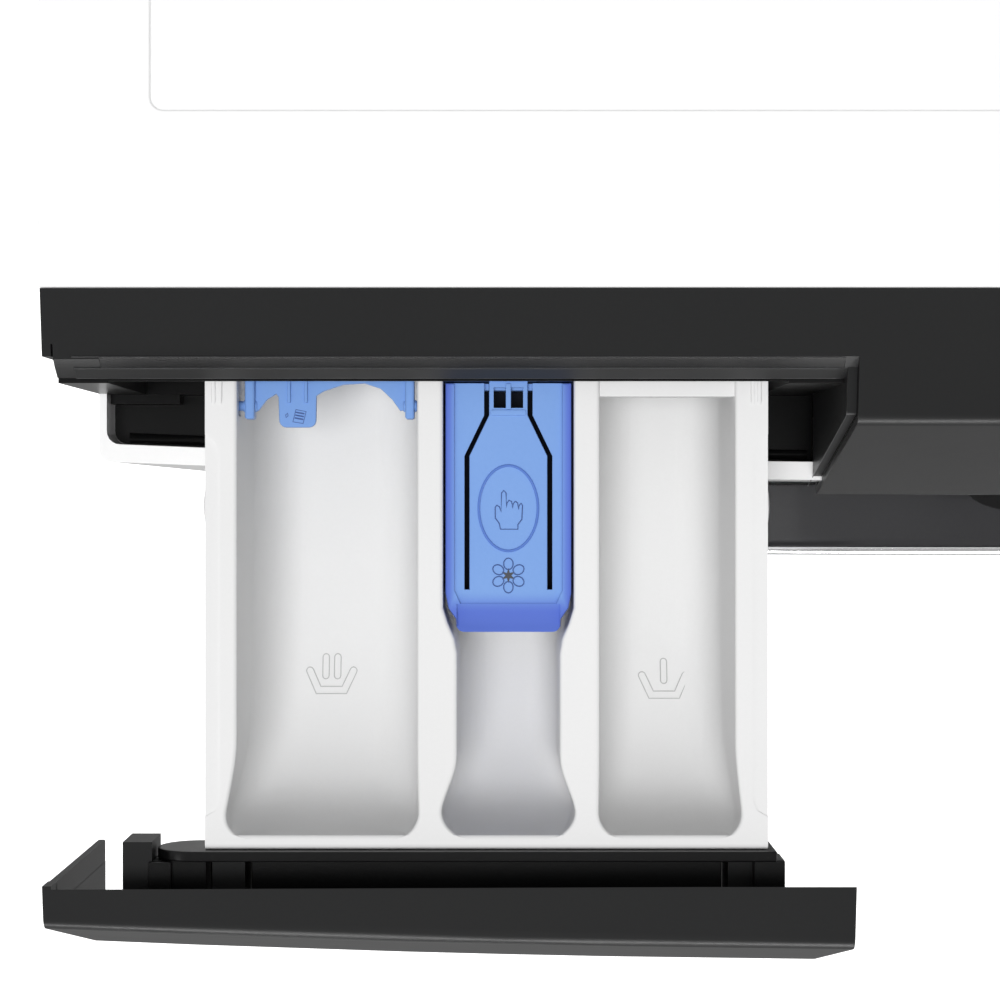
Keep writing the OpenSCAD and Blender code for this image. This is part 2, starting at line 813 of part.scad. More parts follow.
// lift-out compartment lid with tapered front and a slotted surround for the tab
module softener_insert() {
    skin_t = 2.4;
    taper = 3.4;
    color([0.47, 0.62, 0.87])
    with_drawer()
    difference() {
        translate([0, 0, ins_top - ins_deep])
            linear_extrude(height = ins_deep)
            polygon([
                [ins_l + taper, ins_y0], [ins_r - taper, ins_y0], [ins_r, ins_y0 + 8],
                [ins_r, ins_y1], [ins_l, ins_y1], [ins_l, ins_y0 + 8]
            ]);
        translate([0, 0, ins_top - ins_deep - 1])
            linear_extrude(height = ins_deep + 1 - skin_t)
            polygon([
                [ins_l + taper + 2, ins_y0 + 2], [ins_r - taper - 2, ins_y0 + 2], [ins_r - 2, ins_y0 + 9],
                [ins_r - 2, ins_y1 - 2], [ins_l + 2, ins_y1 - 2], [ins_l + 2, ins_y0 + 9]
            ]);
        along_x(ins_l - 1, ins_r + 1)
            polygon([
                [ins_y0 - 1, ins_top + 1], [ins_y0 - 1, ins_top - 6],
                [ins_y0 + 4, ins_top - 2], [ins_y0 + 10, ins_top + 1]
            ]);
        translate([0, 0, ins_top - skin_t - 1])
            linear_extrude(height = skin_t + 2)
            difference() {
                tab_plan(1.8);
                translate([ins_mid - 20, tab_root - 5]) square([40, 5]);
            }
        span([ins_mid - tab_slim - 0.7, ins_y1 - 4, ins_top - 12],
             [ins_mid + tab_slim + 0.7, ins_y1 + 1, ins_top + 1]);
    }
}

module release_tab() {
    color([0.47, 0.62, 0.87])
    with_drawer()
    difference() {
        translate([0, 0, ins_top - 2.4])
            linear_extrude(height = 2.4)
            intersection() {
                tab_plan(0);
                translate([ins_mid - 20, tab_root + 0.35]) square([40, ins_y1 - 0.5 - tab_root]);
            }
        for (x = [ins_mid - 3.5, ins_mid + 1])
            span([x, 122.9, ins_top - 3], [x + 2.5, 127.6, ins_top + 1]);
    }
}

// fixed siphon cover behind the lift-out lid
module siphon_cover() {
    color([0.44, 0.59, 0.85])
    with_drawer()
    difference() {
        span([ins_l - 0.7, ins_y1 + 0.8, tray_low + 3.15], [ins_r + 0.7, tray_rear - 4.5, ins_top]);
        span([ins_l + 1.3, ins_y1 + 2.8, tray_low], [ins_r - 1.3, tray_rear - 6.5, ins_top - 2.4]);
        translate([ins_mid, tray_rear - 16, ins_top - 4]) cylinder(r = 5, h = 6);
    }
}

// hinged gate in the main wash compartment, raised
flap_l = cell_l[0] + 1.6;
flap_r = cell_l[1] - 1.4;
flap_y = 122.7;
flap_z = rim_z - 8.5;

module detergent_flap() {
    color([0.47, 0.62, 0.87])
    with_drawer()
    union() {
        difference() {
            union() {
                span([flap_l, flap_y - 1, flap_z - 1.1], [flap_r, flap_y + 44, flap_z + 1.1]);
                translate([flap_l, flap_y, flap_z]) rotate([0, 90, 0]) cylinder(r = 2.6, h = flap_r - flap_l);
                span([flap_l + 9, flap_y - 7.2, flap_z - 1.1], [flap_l + 23, flap_y, flap_z + 1.1]);
            }
            span([flap_l + 12, flap_y + 18, flap_z - 3], [flap_r - 12, flap_y + 19.2, flap_z + 3]);
        }
        translate([flap_l - 1.9, flap_y, flap_z])
            rotate([0, 90, 0])
            cylinder(r = 1.6, h = flap_r - flap_l + 3.6);
    }
}

// ---- door ----

module hinge_relief() {
    span([-door_r - 5, -door_front + 3, axis_z - 47], [hinge_x + 8, 0, axis_z + 47]);
}

// dark outer ring: rolled rim, front face and the collar that presses on the glass
module door_frame() {
    f = -door_front + 3;
    b = -door_back;
    color([0.17, 0.175, 0.18])
    placed()
    difference() {
        about_drum()
            polygon([
                [door_r - 3.7, b], [door_r, b], [door_r, f + 3.5], [door_r - 2, f],
                [bowl_r - 3, f], [bowl_r - 3, b - 8.8], [bowl_r, b - 8.8],
                [bowl_r + 2, f + 3], [door_r - 6, f + 3], [door_r - 3.7, f + 5]
            ]);
        hinge_relief();
        span([hook_x + 10, b - 17, axis_z - 46], [door_r + 5, b + 2, axis_z + 46]);
    }
}

// bright ring on the door's front
module door_trim() {
    f = -door_front;
    color([0.86, 0.87, 0.88])
    placed()
    about_drum()
    polygon([
        [door_r * 0.86, f + 3], [door_r * 0.86, f + 0.6], [door_r * 0.86 + 1, f],
        [door_r - 2.6, f], [door_r - 1, f + 1.6], [door_r - 1, f + 3]
    ]);
}

// ring behind the glass that carries the hinge barrel and the hook pivot
module door_inner_ring() {
    b = -door_back;
    web_x = hinge_x + 8;
    color([0.24, 0.245, 0.25])
    placed()
    difference() {
        union() {
            difference() {
                about_drum()
                    polygon([
                        [bowl_r + 1.5, b - 4.8], [door_r - 3.7, b - 4.8],
                        [door_r - 3.7, b], [bowl_r + 1.5, b]
                    ]);
                hinge_relief();
                span([hook_x - 8, b - 10, axis_z - 12], [hook_x + 9, b + 2, axis_z + 12]);
                span([hook_x + 10, b - 10, axis_z - 46], [door_r, b + 2, axis_z + 46]);
            }
            translate([hinge_x, hinge_y, axis_z - 29.5]) cylinder(r = 6.3, h = 59);
            span([hinge_x, b - 9, axis_z - 29.5], [web_x + 4, b - 5.5, axis_z + 29.5]);
            span([web_x + 0.5, b - 9, axis_z - 29.5], [web_x + 4, b - 2, axis_z + 29.5]);
            for (z = [axis_z - 16, axis_z + 12])
                span([hook_x - 7, b - 12, z], [hook_x + 5, b - 2, z + 4]);
            translate([hook_x, b - 7, axis_z - 13]) cylinder(r = 2.5, h = 26);
        }
        translate([hinge_x, hinge_y, axis_z - 40]) cylinder(r = 3 + run, h = 80);
    }
}

// deep glass bowl with a flat flange
module door_glass() {
    b = -door_back;
    tip = -b - 32;
    color([0.75, 0.82, 0.85, 0.35])
    placed()
    about_drum()
    polygon([
        [0, tip - 4], [0, tip], [bowl_r - 30, tip], [bowl_r - 24, tip - 5],
        [bowl_r + 1, b], [bowl_r + 1, b - 4.8], [bowl_r + 14, b - 4.8],
        [bowl_r + 14, b - 8.8], [bowl_r - 3, b - 8.8], [bowl_r - 3, b - 1],
        [bowl_r - 28, tip - 7], [bowl_r - 31, tip - 4]
    ]);
}

// latch hook on its own pivot
module door_hook() {
    b = -door_back;
    color([0.70, 0.71, 0.72])
    placed()
    difference() {
        union() {
            translate([hook_x, b - 7, axis_z - 11]) cylinder(r = 5, h = 22);
            span([hook_x - 3, b - 7, axis_z - 11], [hook_x + 3, b + 28, axis_z + 11]);
            span([hook_x - 3, b + 22, axis_z - 11], [hook_x + 9, b + 28, axis_z + 11]);
        }
        translate([hook_x, b - 7, axis_z - 12]) cylinder(r = 2.5 + run, h = 24);
    }
}

// lock housing behind the panel, open where the hook enters
module door_lock() {
    y0 = -panel_out + sheet + bow(hook_x + 26) + gap;
    color([0.12, 0.12, 0.13])
    placed()
    difference() {
        span([hook_x - 22, y0, axis_z - 34], [hook_x + 26, y0 + 44, axis_z + 34]);
        span([hook_x - 15, y0 - 1, axis_z - 13], [hook_x + 18, y0 + 38, axis_z + 13]);
    }
}

// two swan-neck arms that reach out of the panel to the door's hinge line
module door_hinge() {
    color([0.72, 0.73, 0.74])
    placed()
    union() {
        for (z = [axis_z - 40, axis_z + 30]) {
            translate([hinge_x, hinge_y, z]) cylinder(r = 5, h = 10);
            span([hinge_x - 4, hinge_y, z], [hinge_x + 4, -panel_out + bow(hinge_x) + 14, z + 10]);
        }
        span([hinge_x - 7, -panel_out + bow(hinge_x) + 14, axis_z - 48],
             [hinge_x + 20, -panel_out + bow(hinge_x) + 17, axis_z + 48]);
        translate([hinge_x, hinge_y, axis_z - 40]) cylinder(r = 3, h = 80);
    }
}

// rubber bellows between the porthole collar and the tub
module door_gasket() {
    f = -panel_out + 5;
    e = tub_y0 - 2;
    color([0.45, 0.46, 0.47])
    placed()
    about_drum()
    polygon([
        [port_r - 4, f], [port_r, f], [port_r, -28], [port_r + 9, -24], [port_r + 9, -6],
        [port_r - 3, -2], [port_r - 3, 8], [port_r + 3, 12], [port_r + 3, e], [port_r, e],
        [port_r, 14.5], [port_r - 6, 10.5], [port_r - 6, -4.5], [bowl_r - 10.5, -9.5],
        [bowl_r - 10.5, -12], [port_r - 6, -8], [port_r + 5.6, -9.5], [port_r + 5.6, -21.5],
        [port_r - 4, -25]
    ]);
}

// ---- suspended unit ----

// tub half towards the door, open in the middle, with the joint flange at its back
module tub_front() {
    color([0.75, 0.76, 0.77])
    placed()
    about_drum()
    polygon([
        [port_r + 4, tub_y0], [tub_r, tub_y0], [tub_r, seam_y - 6], [tub_r + 8, seam_y - 6],
        [tub_r + 8, seam_y], [tub_r - tub_wall, seam_y], [tub_r - tub_wall, tub_y0 + 4],
        [port_r + 8, tub_y0 + 4], [port_r + 8, tub_y0 + 9], [port_r + 4, tub_y0 + 9]
    ]);
}

module spring_lug(side) {
    span([side * hang_x - 12, hang_y - 12, hang_z - 34], [side * hang_x + 12, hang_y + 12, hang_z]);
}

module damper_lug(side) {
    for (y = [hang_y - 11, hang_y + 7])
        span([side * leg_x - 12, y, leg_z - 10], [side * leg_x + 12, y + 4, leg_z + 40]);
    disc_y(side * leg_x, leg_z, pin_r, hang_y - 11, hang_y + 11);
}

// tub half towards the back: bearing hub, ribs, spring lugs, damper lugs, motor saddle
module tub_rear() {
    hub_r = 46;
    hub_y = tub_y1 + 28;
    color([0.75, 0.76, 0.77])
    placed()
    difference() {
        union() {
            about_drum()
                polygon([
                    [0, tub_y1 - 4], [hub_r, tub_y1 - 4], [tub_r, tub_y1 - 4], [tub_r, tub_y1], [hub_r, tub_y1],
                    [hub_r, hub_y], [0, hub_y]
                ]);
            about_drum()
                polygon([
                    [tub_r - tub_wall, seam_y], [tub_r + 8, seam_y], [tub_r + 8, seam_y + 6],
                    [tub_r, seam_y + 6], [tub_r, tub_y1], [tub_r - tub_wall, tub_y1]
                ]);
            difference() {
                union() {
                    for (side = [-1, 1]) {
                        spring_lug(side);
                        damper_lug(side);
                    }
                    for (y = [motor_y0 + 12, motor_y1 - 32])
                        span([motor_x - 22, y, motor_z + 20], [motor_x + 22, y + 18, motor_z + motor_r + 24]);
                }
                about_drum() polygon([[0, 0], [tub_r - 1, 0], [tub_r - 1, tub_y1 - 1], [0, tub_y1 - 1]]);
                disc_y(motor_x, motor_z, motor_r, motor_y0 - 5, motor_y1 + 5);
            }
            for (a = [30 : 60 : 330])
                translate([0, tub_y1, axis_z])
                rotate([0, a, 0])
                span([-2, 0, hub_r - 2], [2, 18, tub_r - 30]);
        }
        disc_y(0, axis_z, 31, tub_y1 - 20, hub_y + 1);
        for (x = [-35, 35])
            disc_y(x, axis_z - tub_r + 15, 3.5, tub_y1 - 10, tub_y1 + 10);
    }
}

// cast ring bolted to the front of the tub
module counterweight_front() {
    color([0.58, 0.57, 0.55])
    placed()
    about_drum()
    polygon([
        [port_r + 16, tub_y0 - 30], [tub_r - 8, tub_y0 - 30], [tub_r - 4, tub_y0 - 26],
        [tub_r - 4, tub_y0], [port_r + 14, tub_y0], [port_r + 14, tub_y0 - 28]
    ]);
}

// block on top of the tub, beside the drawer's housing
module counterweight_top() {
    x0 = tray_r_x + 30;
    top = min(axis_z + tub_r + 62, rail_z - 14);
    color([0.58, 0.57, 0.55])
    placed()
    difference() {
        span([x0, tub_y0 + 14, axis_z + tub_r * 0.72], [tub_r * 0.68, seam_y - 8, top]);
        disc_y(0, axis_z, tub_r, tub_y0, seam_y);
    }
}

// sheathed loop low in the tub, on a flange at its back
module heater() {
    z = axis_z - tub_r + 15;
    color([0.66, 0.66, 0.67])
    placed()
    union() {
        for (x = [-35, 35])
            disc_y(x, z, 3.5, drum_y0 + 30, tub_y1 + 6);
        translate([-35, drum_y0 + 30, z]) rotate([0, 90, 0]) cylinder(r = 3.5, h = 70);
        span([-46, tub_y1, z - 9], [46, tub_y1 + 5, z + 9]);
    }
}

module drum_bearings() {
    color([0.70, 0.71, 0.73])
    placed()
    for (y = [tub_y1 - 3, tub_y1 + 13])
        translate([0, y, axis_z])
        rotate([-90, 0, 0])
        difference() {
            cylinder(r = 31, h = 14);
            translate([0, 0, -1]) cylinder(r = shaft_r + run, h = 16);
            translate([0, 0, -1]) difference() {
                cylinder(r = 26, h = 4);
                cylinder(r = 20, h = 4);
            }
        }
}

module motor_body() {
    color([0.40, 0.41, 0.42])
    placed()
    difference() {
        union() {
            disc_y(motor_x, motor_z, motor_r, motor_y0, motor_y1);
            disc_y(motor_x, motor_z, 22, motor_y1, motor_y1 + 14);
        }
        disc_y(motor_x, motor_z, 8 + run, motor_y1 - 30, motor_y1 + 20);
        for (a = [0 : 45 : 315])
            translate([motor_x, 0, motor_z])
            rotate([0, a, 0])
            span([-4, motor_y0 - 1, 30], [4, motor_y0 + 14, 52]);
    }
}

// distance and direction from the drum's axis to the motor's
span_x = motor_x;
span_z = motor_z - axis_z;
span_d = sqrt(span_x * span_x + span_z * span_z);
span_a = atan2(span_z, span_x);
wrap_a = acos((pulley_r - small_r) / span_d);

// space inside a belt line that runs t outside both pulleys
module belt_space(t, y0, y1) {
    a = [0, axis_z];
    b = [motor_x, motor_z];
    s = t + 0.05;
    union() {
        translate([0, y1, 0])
            rotate([90, 0, 0])
            linear_extrude(height = y1 - y0)
            polygon([
                polar(a, pulley_r + s, span_a + wrap_a), polar(b, small_r + s, span_a + wrap_a),
                polar(b, small_r + s, span_a - wrap_a), polar(a, pulley_r + s, span_a - wrap_a)
            ]);
        disc_y(a[0], a[1], pulley_r + t, y0, y1);
        disc_y(b[0], b[1], small_r + t, y0, y1);
    }
}

module drive_belt() {
    color([0.08, 0.08, 0.085])
    placed()
    difference() {
        belt_space(3.6, pulley_y + 2, pulley_y + 14);
        belt_space(0.4, pulley_y + 1, pulley_y + 15);
    }
}

module motor_pulley() {
    color([0.55, 0.56, 0.57])
    placed()
    union() {
        disc_y(motor_x, motor_z, small_r, pulley_y - 2, pulley_y + 18);
        disc_y(motor_x, motor_z, 8, motor_y1 - 26, pulley_y);
    }
}

module drum_pulley() {
    spoke = 18;
    color([0.68, 0.69, 0.70])
    placed()
    translate([0, pulley_y, axis_z])
    rotate([-90, 0, 0])
    difference() {
        union() {
            difference() {
                cylinder(r = pulley_r, h = pulley_t, $fn = 144);
                translate([0, 0, -1]) cylinder(r = pulley_r - 7, h = pulley_t + 2, $fn = 144);
            }
            cylinder(r = 26, h = pulley_t);
            for (a = [0 : 60 : 300])
                rotate([0, 0, a]) translate([20, -spoke / 2, 4]) cube([pulley_r - 24, spoke, 7]);
        }
        translate([0, 0, -1]) cylinder(r = shaft_r - 3, h = pulley_t + 2);
    }
}

// perforated cylinder with a rolled mouth and a closed back
module drum_shell() {
    mouth = port_r - 8;
    t = 1.2;
    rows = 6;
    around = 24;
    hole = 3;
    color([0.78, 0.79, 0.80])
    placed()
    difference() {
        about_drum()
            polygon([
                [mouth, drum_y0], [drum_r, drum_y0], [drum_r, drum_y1], [0, drum_y1],
                [0, drum_y1 - t], [drum_r - t, drum_y1 - t], [drum_r - t, drum_y0 + t],
                [mouth + t, drum_y0 + t], [mouth + t, drum_y0 + 8], [mouth, drum_y0 + 8]
            ]);
        for (i = [1 : rows - 1])
            for (a = [15 : 360 / around : 360])
                translate([0, drum_y0 + i * (drum_y1 - drum_y0) / rows, axis_z])
                rotate([0, a, 0])
                translate([0, 0, drum_r - 4])
                cylinder(r = hole, h = 8, $fn = 6);
    }
}

// three-armed casting and its shaft
module drum_spider() {
    color([0.62, 0.63, 0.65])
    placed()
    translate([0, drum_y1, axis_z])
    rotate([-90, 0, 0])
    union() {
        cylinder(r = 38, h = spider_t);
        for (a = [90, 210, 330])
            rotate([0, 0, a]) translate([0, -14, 0]) cube([drum_r - 6, 28, spider_t - 4]);
        cylinder(r = shaft_r, h = tub_y1 + 30 - drum_y1);
        cylinder(r = shaft_r - 3, h = pulley_y + pulley_t + 4 - drum_y1);
    }
}

// three paddles that lift the washing
module drum_lifters() {
    t = 1.2;
    tall = 44;
    foot_w = 34;
    color([0.62, 0.63, 0.64])
    placed()
    translate([0, 0, axis_z])
    intersection() {
        union() {
            for (a = [90, 210, 330])
                rotate([0, -a, 0])
                translate([drum_r - t - tall, drum_y1 - t - 4, 0])
                rotate([90, 0, 0])
                linear_extrude(height = drum_y1 - drum_y0 - 2 * t - 12)
                polygon([[0, -5], [2, -9], [tall + 2, -foot_w], [tall + 2, foot_w], [2, 9], [0, 5]]);
        }
        rotate([-90, 0, 0]) cylinder(r = drum_r - t, h = drum_y1, $fn = 144);
    }
}

// helical spring, its wire swept round the coil
module coil(x) {
    turns = 9;
    tall = rail_z - hang_z - gap;
    translate([x, hang_y, hang_z])
    linear_extrude(height = tall, twist = -360 * turns, slices = turns * 14, $fn = 8)
    translate([12, 0])
    circle(r = 2.6, $fn = 8);
}

module tub_springs() {
    color([0.5, 0.51, 0.53])
    placed()
    for (side = [-1, 1])
        coil(side * hang_x);
}

// ---- dampers ----

// stands a damper's own axis on its lower pin, leaning in towards the tub
module damper_axis(side) {
    translate([side * base_x, hang_y, base_z])
    rotate([0, -side * leg_tilt, 0])
    children();
}

module damper_cylinder(side) {
    color([0.16, 0.16, 0.17])
    placed()
    damper_axis(side)
    difference() {
        union() {
            translate([0, 6, 0]) rotate([90, 0, 0]) cylinder(r = 11, h = 12);
            translate([0, 0, 9]) cylinder(r = 4.5, h = 10);
            translate([0, 0, 17]) cylinder(r = 15, h = leg_len * 0.52);
        }
        translate([0, 7, 0]) rotate([90, 0, 0]) cylinder(r = pin_r + run, h = 14);
        translate([0, 0, 24]) cylinder(r = 6.2, h = leg_len);
    }
}

module damper_rod(side) {
    color([0.70, 0.71, 0.72])
    placed()
    damper_axis(side)
    difference() {
        union() {
            translate([0, 6, leg_len]) rotate([90, 0, 0]) cylinder(r = 11, h = 12);
            translate([0, 0, leg_len * 0.3]) cylinder(r = 5.6, h = leg_len * 0.7 - 8);
        }
        translate([0, 7, leg_len]) rotate([90, 0, 0]) cylinder(r = pin_r + run, h = 14);
    }
}

// ---- pump ----

module drain_pump() {
    color([0.20, 0.21, 0.22])
    placed()
    difference() {
        union() {
            disc_y(flap_x, pump_z, 30, -22, 60);
            disc_y(flap_x, pump_z, 24, 60, 120);
            translate([flap_x, 40, pump_z]) cylinder(r = 12, h = 52);
        }
        disc_y(flap_x, pump_z, 27, -23, 56);
        translate([flap_x, 40, pump_z]) cylinder(r = 9.5, h = 60);
    }
}

// screw-in filter with a bar handle
module filter_cap() {
    color([0.30, 0.45, 0.60])
    placed()
    union() {
        disc_y(flap_x, pump_z, 31.5, -28, -22.4);
        disc_y(flap_x, pump_z, 26.9, -22.5, -6);
        span([flap_x - 24, -38, pump_z - 3.5], [flap_x + 24, -27.9, pump_z + 3.5]);
        disc_y(flap_x, pump_z, 20, -6.1, 48);
    }
}

// drop-down cover in the plinth
module filter_flap() {
    y = -panel_out + 2.4 + bow(flap_x);
    color([0.93, 0.93, 0.93])
    placed()
    span([flap_x - flap_w / 2 + 0.5, y, kick_low + 10.5],
         [flap_x + flap_w / 2 - 0.5, y + 3, kick_low + 9.5 + flap_h]);
}

cabinet_shell();
cross_rail();
rear_panel();
rear_screws();
transit_caps();
base_tray();
front_panel();
kick_plate();
worktop();
control_fascia();
dispenser_shroud();
dispenser_housing();
inlet_valve();
mains_inlet();
control_board();
display_window();
drain_pump();
door_lock();
door_hinge();
door_gasket();
foot_nuts();
foot(-foot_x, foot_y[0]);  // foot_front_left
foot(foot_x, foot_y[0]);  // foot_front_right
foot(-foot_x, foot_y[1]);  // foot_rear_left
foot(foot_x, foot_y[1]);  // foot_rear_right
drawer_tray();
drawer_front();
drawer_bracket();
siphon_cover();
softener_insert();
release_tab();
detergent_flap();
door_frame();
door_trim();
door_inner_ring();
door_glass();
door_hook();
tub_front();
tub_rear();
counterweight_front();
counterweight_top();
heater();
drum_bearings();
motor_body();
drive_belt();
tub_springs();
drum_shell();
drum_spider();
drum_lifters();
drum_pulley();
motor_pulley();
damper_cylinder(-1);  // damper_cylinder_left
damper_cylinder(1);  // damper_cylinder_right
damper_rod(-1);  // damper_rod_left
damper_rod(1);  // damper_rod_right
programme_knob();
push_key(power_x);  // power_button
push_key(start_x);  // start_button
filter_cap();
filter_flap();
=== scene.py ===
"""Front load washing machine, seen from straight above its front left corner with the
detergent drawer pulled out.

Lengths in this file are millimetres in the maker's frame: Y = 0 is the front edge of the
worktop, the front faces -Y, and Z = 0 is the floor. settle() turns a finished mesh into
metres and moves it to the row frame.
"""

import json
import math

import bmesh
import bpy
from mathutils import Matrix, Vector


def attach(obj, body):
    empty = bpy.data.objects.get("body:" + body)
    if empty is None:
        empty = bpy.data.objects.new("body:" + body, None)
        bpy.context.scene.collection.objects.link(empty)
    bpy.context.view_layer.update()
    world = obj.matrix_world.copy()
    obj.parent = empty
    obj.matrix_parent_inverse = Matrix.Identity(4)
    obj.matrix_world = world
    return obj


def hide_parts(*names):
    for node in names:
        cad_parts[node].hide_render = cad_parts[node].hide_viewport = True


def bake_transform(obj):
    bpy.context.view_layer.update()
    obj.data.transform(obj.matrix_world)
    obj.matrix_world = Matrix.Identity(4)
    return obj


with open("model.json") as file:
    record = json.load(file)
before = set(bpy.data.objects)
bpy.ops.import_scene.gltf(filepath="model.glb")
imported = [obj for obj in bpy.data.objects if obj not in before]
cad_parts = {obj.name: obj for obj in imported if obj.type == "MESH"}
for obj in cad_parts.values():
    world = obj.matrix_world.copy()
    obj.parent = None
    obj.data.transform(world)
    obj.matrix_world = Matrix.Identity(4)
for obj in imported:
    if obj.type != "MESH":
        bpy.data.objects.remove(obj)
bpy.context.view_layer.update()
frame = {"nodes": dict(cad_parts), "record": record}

# ---------------------------------------------------------------- sizes

MM = 0.001
ROW_Y = -169.0412  # maker's Y = 0 in the row frame
DRAWER_OUT = -156.5  # the drawer's travel at rest
WIDE = 598.0
TALL = 850.0
HALF = WIDE / 2
BOW_SAG = 6.5
BOW_R = (HALF * HALF + BOW_SAG * BOW_SAG) / (2 * BOW_SAG)
FACIA_LOW = TALL - 104
RIM_Z = TALL - 22
AXIS_Z = 455.0
NOTCH_L = -296.0
NOTCH_R = -59.4

BEND_Y, BEND_Z, BEND_R = 35.9, TALL - 13.4, 5.0
TOP_FALL = math.radians(10)
LEAN = math.atan((60.5 - 41.3) / (104 - 19.5))
LOW_Z, LOW_R = FACIA_LOW + 3.0, 3.0
LOW_Y = (
    BEND_Y
    + BEND_R / math.cos(LEAN)
    + (BEND_Z - LOW_Z) * math.tan(LEAN)
    - LOW_R / math.cos(LEAN)
)

TRAY_L, TRAY_R = -252.5, -81.7
TRAY_FRONT, TRAY_REAR = -12.3, 232.0
TRAY_LOW = RIM_Z - 65
CELL_LEFT = (TRAY_L + 9.7, TRAY_L + 64.3)
CELL_RIGHT = (TRAY_R - 51, TRAY_R - 10)
CELL_MID = (CELL_LEFT[1] + 7.9, CELL_RIGHT[0] - 7.9)
LID_L, LID_R = CELL_MID[0] + 0.7, CELL_MID[1] - 0.7
LID_MID = (LID_L + LID_R) / 2
LID_FRONT, LID_BACK = 53.5, 129.4
LID_TOP = RIM_Z - 1.5
TAB_ROOT = 66.6
FLAP_Y, FLAP_Z = 122.7, RIM_Z - 8.5
FLAP_L, FLAP_R = CELL_LEFT[0] + 1.6, CELL_LEFT[1] - 1.4


def bow(x):
    """How far the front falls back from its middle at x."""
    return BOW_R - math.sqrt(BOW_R * BOW_R - x * x)


# ---------------------------------------------------------------- materials


def node_group(name, inputs, outputs):
    """An empty shader group with named sockets; returns it with its input and output nodes."""
    group = bpy.data.node_groups.new(name, "ShaderNodeTree")
    for label, kind, value in inputs:
        socket = group.interface.new_socket(label, in_out="INPUT", socket_type=kind)
        socket.default_value = value
    for label, kind in outputs:
        group.interface.new_socket(label, in_out="OUTPUT", socket_type=kind)
    return group, group.nodes.new("NodeGroupInput"), group.nodes.new("NodeGroupOutput")


def noise(tree, scale, detail=3.0, roughness=0.5, vector=None, dist=0.0):
    n = tree.nodes.new("ShaderNodeTexNoise")
    n.inputs["Scale"].default_value = scale
    n.inputs["Detail"].default_value = detail
    n.inputs["Roughness"].default_value = roughness
    n.inputs["Distortion"].default_value = dist
    if vector is not None:
        tree.links.new(vector, n.inputs["Vector"])
    return n


def build_tone_drift():
    """Slow change of colour over a surface, with a little fine mottle."""
    group, gin, gout = node_group(
        "tone_drift",
        [
            ("Light", "NodeSocketColor", (0.8, 0.8, 0.8, 1)),
            ("Dark", "NodeSocketColor", (0.7, 0.7, 0.7, 1)),
            ("Scale", "NodeSocketFloat", 8.0),
        ],
        [("Color", "NodeSocketColor")],
    )
    coord = group.nodes.new("ShaderNodeTexCoord")
    slow = noise(group, 8.0, 2.0, 0.5, coord.outputs["Object"])
    group.links.new(gin.outputs["Scale"], slow.inputs["Scale"])
    fine = noise(group, 900.0, 2.0, 0.6, coord.outputs["Object"])
    both = group.nodes.new("ShaderNodeMath")
    both.operation = "MULTIPLY_ADD"
    both.inputs[1].default_value = 0.3
    group.links.new(fine.outputs["Fac"], both.inputs[0])
    group.links.new(slow.outputs["Fac"], both.inputs[2])
    ramp = group.nodes.new("ShaderNodeMapRange")
    ramp.inputs["From Min"].default_value = 0.45
    ramp.inputs["From Max"].default_value = 0.85
    group.links.new(both.outputs[0], ramp.inputs["Value"])
    mix = group.nodes.new("ShaderNodeMix")
    mix.data_type = "RGBA"
    group.links.new(ramp.outputs["Result"], mix.inputs["Factor"])
    group.links.new(gin.outputs["Light"], mix.inputs["A"])
    group.links.new(gin.outputs["Dark"], mix.inputs["B"])
    group.links.new(mix.outputs["Result"], gout.inputs["Color"])
    return group


def build_gloss_drift():
    """Roughness that varies with handling smudges and fine scuffs."""
    group, gin, gout = node_group(
        "gloss_drift",
        [
            ("Roughness", "NodeSocketFloat", 0.4),
            ("Spread", "NodeSocketFloat", 0.1),
            ("Scale", "NodeSocketFloat", 14.0),
        ],
        [("Roughness", "NodeSocketFloat")],
    )
    coord = group.nodes.new("ShaderNodeTexCoord")
    smudge = noise(group, 14.0, 5.0, 0.6, coord.outputs["Object"], 0.4)
    group.links.new(gin.outputs["Scale"], smudge.inputs["Scale"])
    centred = group.nodes.new("ShaderNodeMath")
    centred.operation = "SUBTRACT"
    centred.inputs[1].default_value = 0.5
    group.links.new(smudge.outputs["Fac"], centred.inputs[0])
    scaled = group.nodes.new("ShaderNodeMath")
    scaled.operation = "MULTIPLY"
    group.links.new(centred.outputs[0], scaled.inputs[0])
    group.links.new(gin.outputs["Spread"], scaled.inputs[1])
    total = group.nodes.new("ShaderNodeMath")
    total.operation = "ADD"
    group.links.new(scaled.outputs[0], total.inputs[0])
    group.links.new(gin.outputs["Roughness"], total.inputs[1])
    group.links.new(total.outputs[0], gout.inputs["Roughness"])
    return group


def build_surface_grain():
    """Height of a moulded or sprayed skin: fine grain on a slower ripple."""
    group, gin, gout = node_group(
        "surface_grain",
        [
            ("Fine", "NodeSocketFloat", 1500.0),
            ("Ripple", "NodeSocketFloat", 60.0),
            ("Ripple share", "NodeSocketFloat", 0.4),
        ],
        [("Height", "NodeSocketFloat")],
    )
    coord = group.nodes.new("ShaderNodeTexCoord")
    fine = noise(group, 1500.0, 2.0, 0.5, coord.outputs["Object"])
    ripple = noise(group, 60.0, 2.0, 0.4, coord.outputs["Object"])
    group.links.new(gin.outputs["Fine"], fine.inputs["Scale"])
    group.links.new(gin.outputs["Ripple"], ripple.inputs["Scale"])
    mix = group.nodes.new("ShaderNodeMix")
    mix.data_type = "FLOAT"
    group.links.new(gin.outputs["Ripple share"], mix.inputs["Factor"])
    group.links.new(fine.outputs["Fac"], mix.inputs["A"])
    group.links.new(ripple.outputs["Fac"], mix.inputs["B"])
    group.links.new(mix.outputs["Result"], gout.inputs["Height"])
    return group


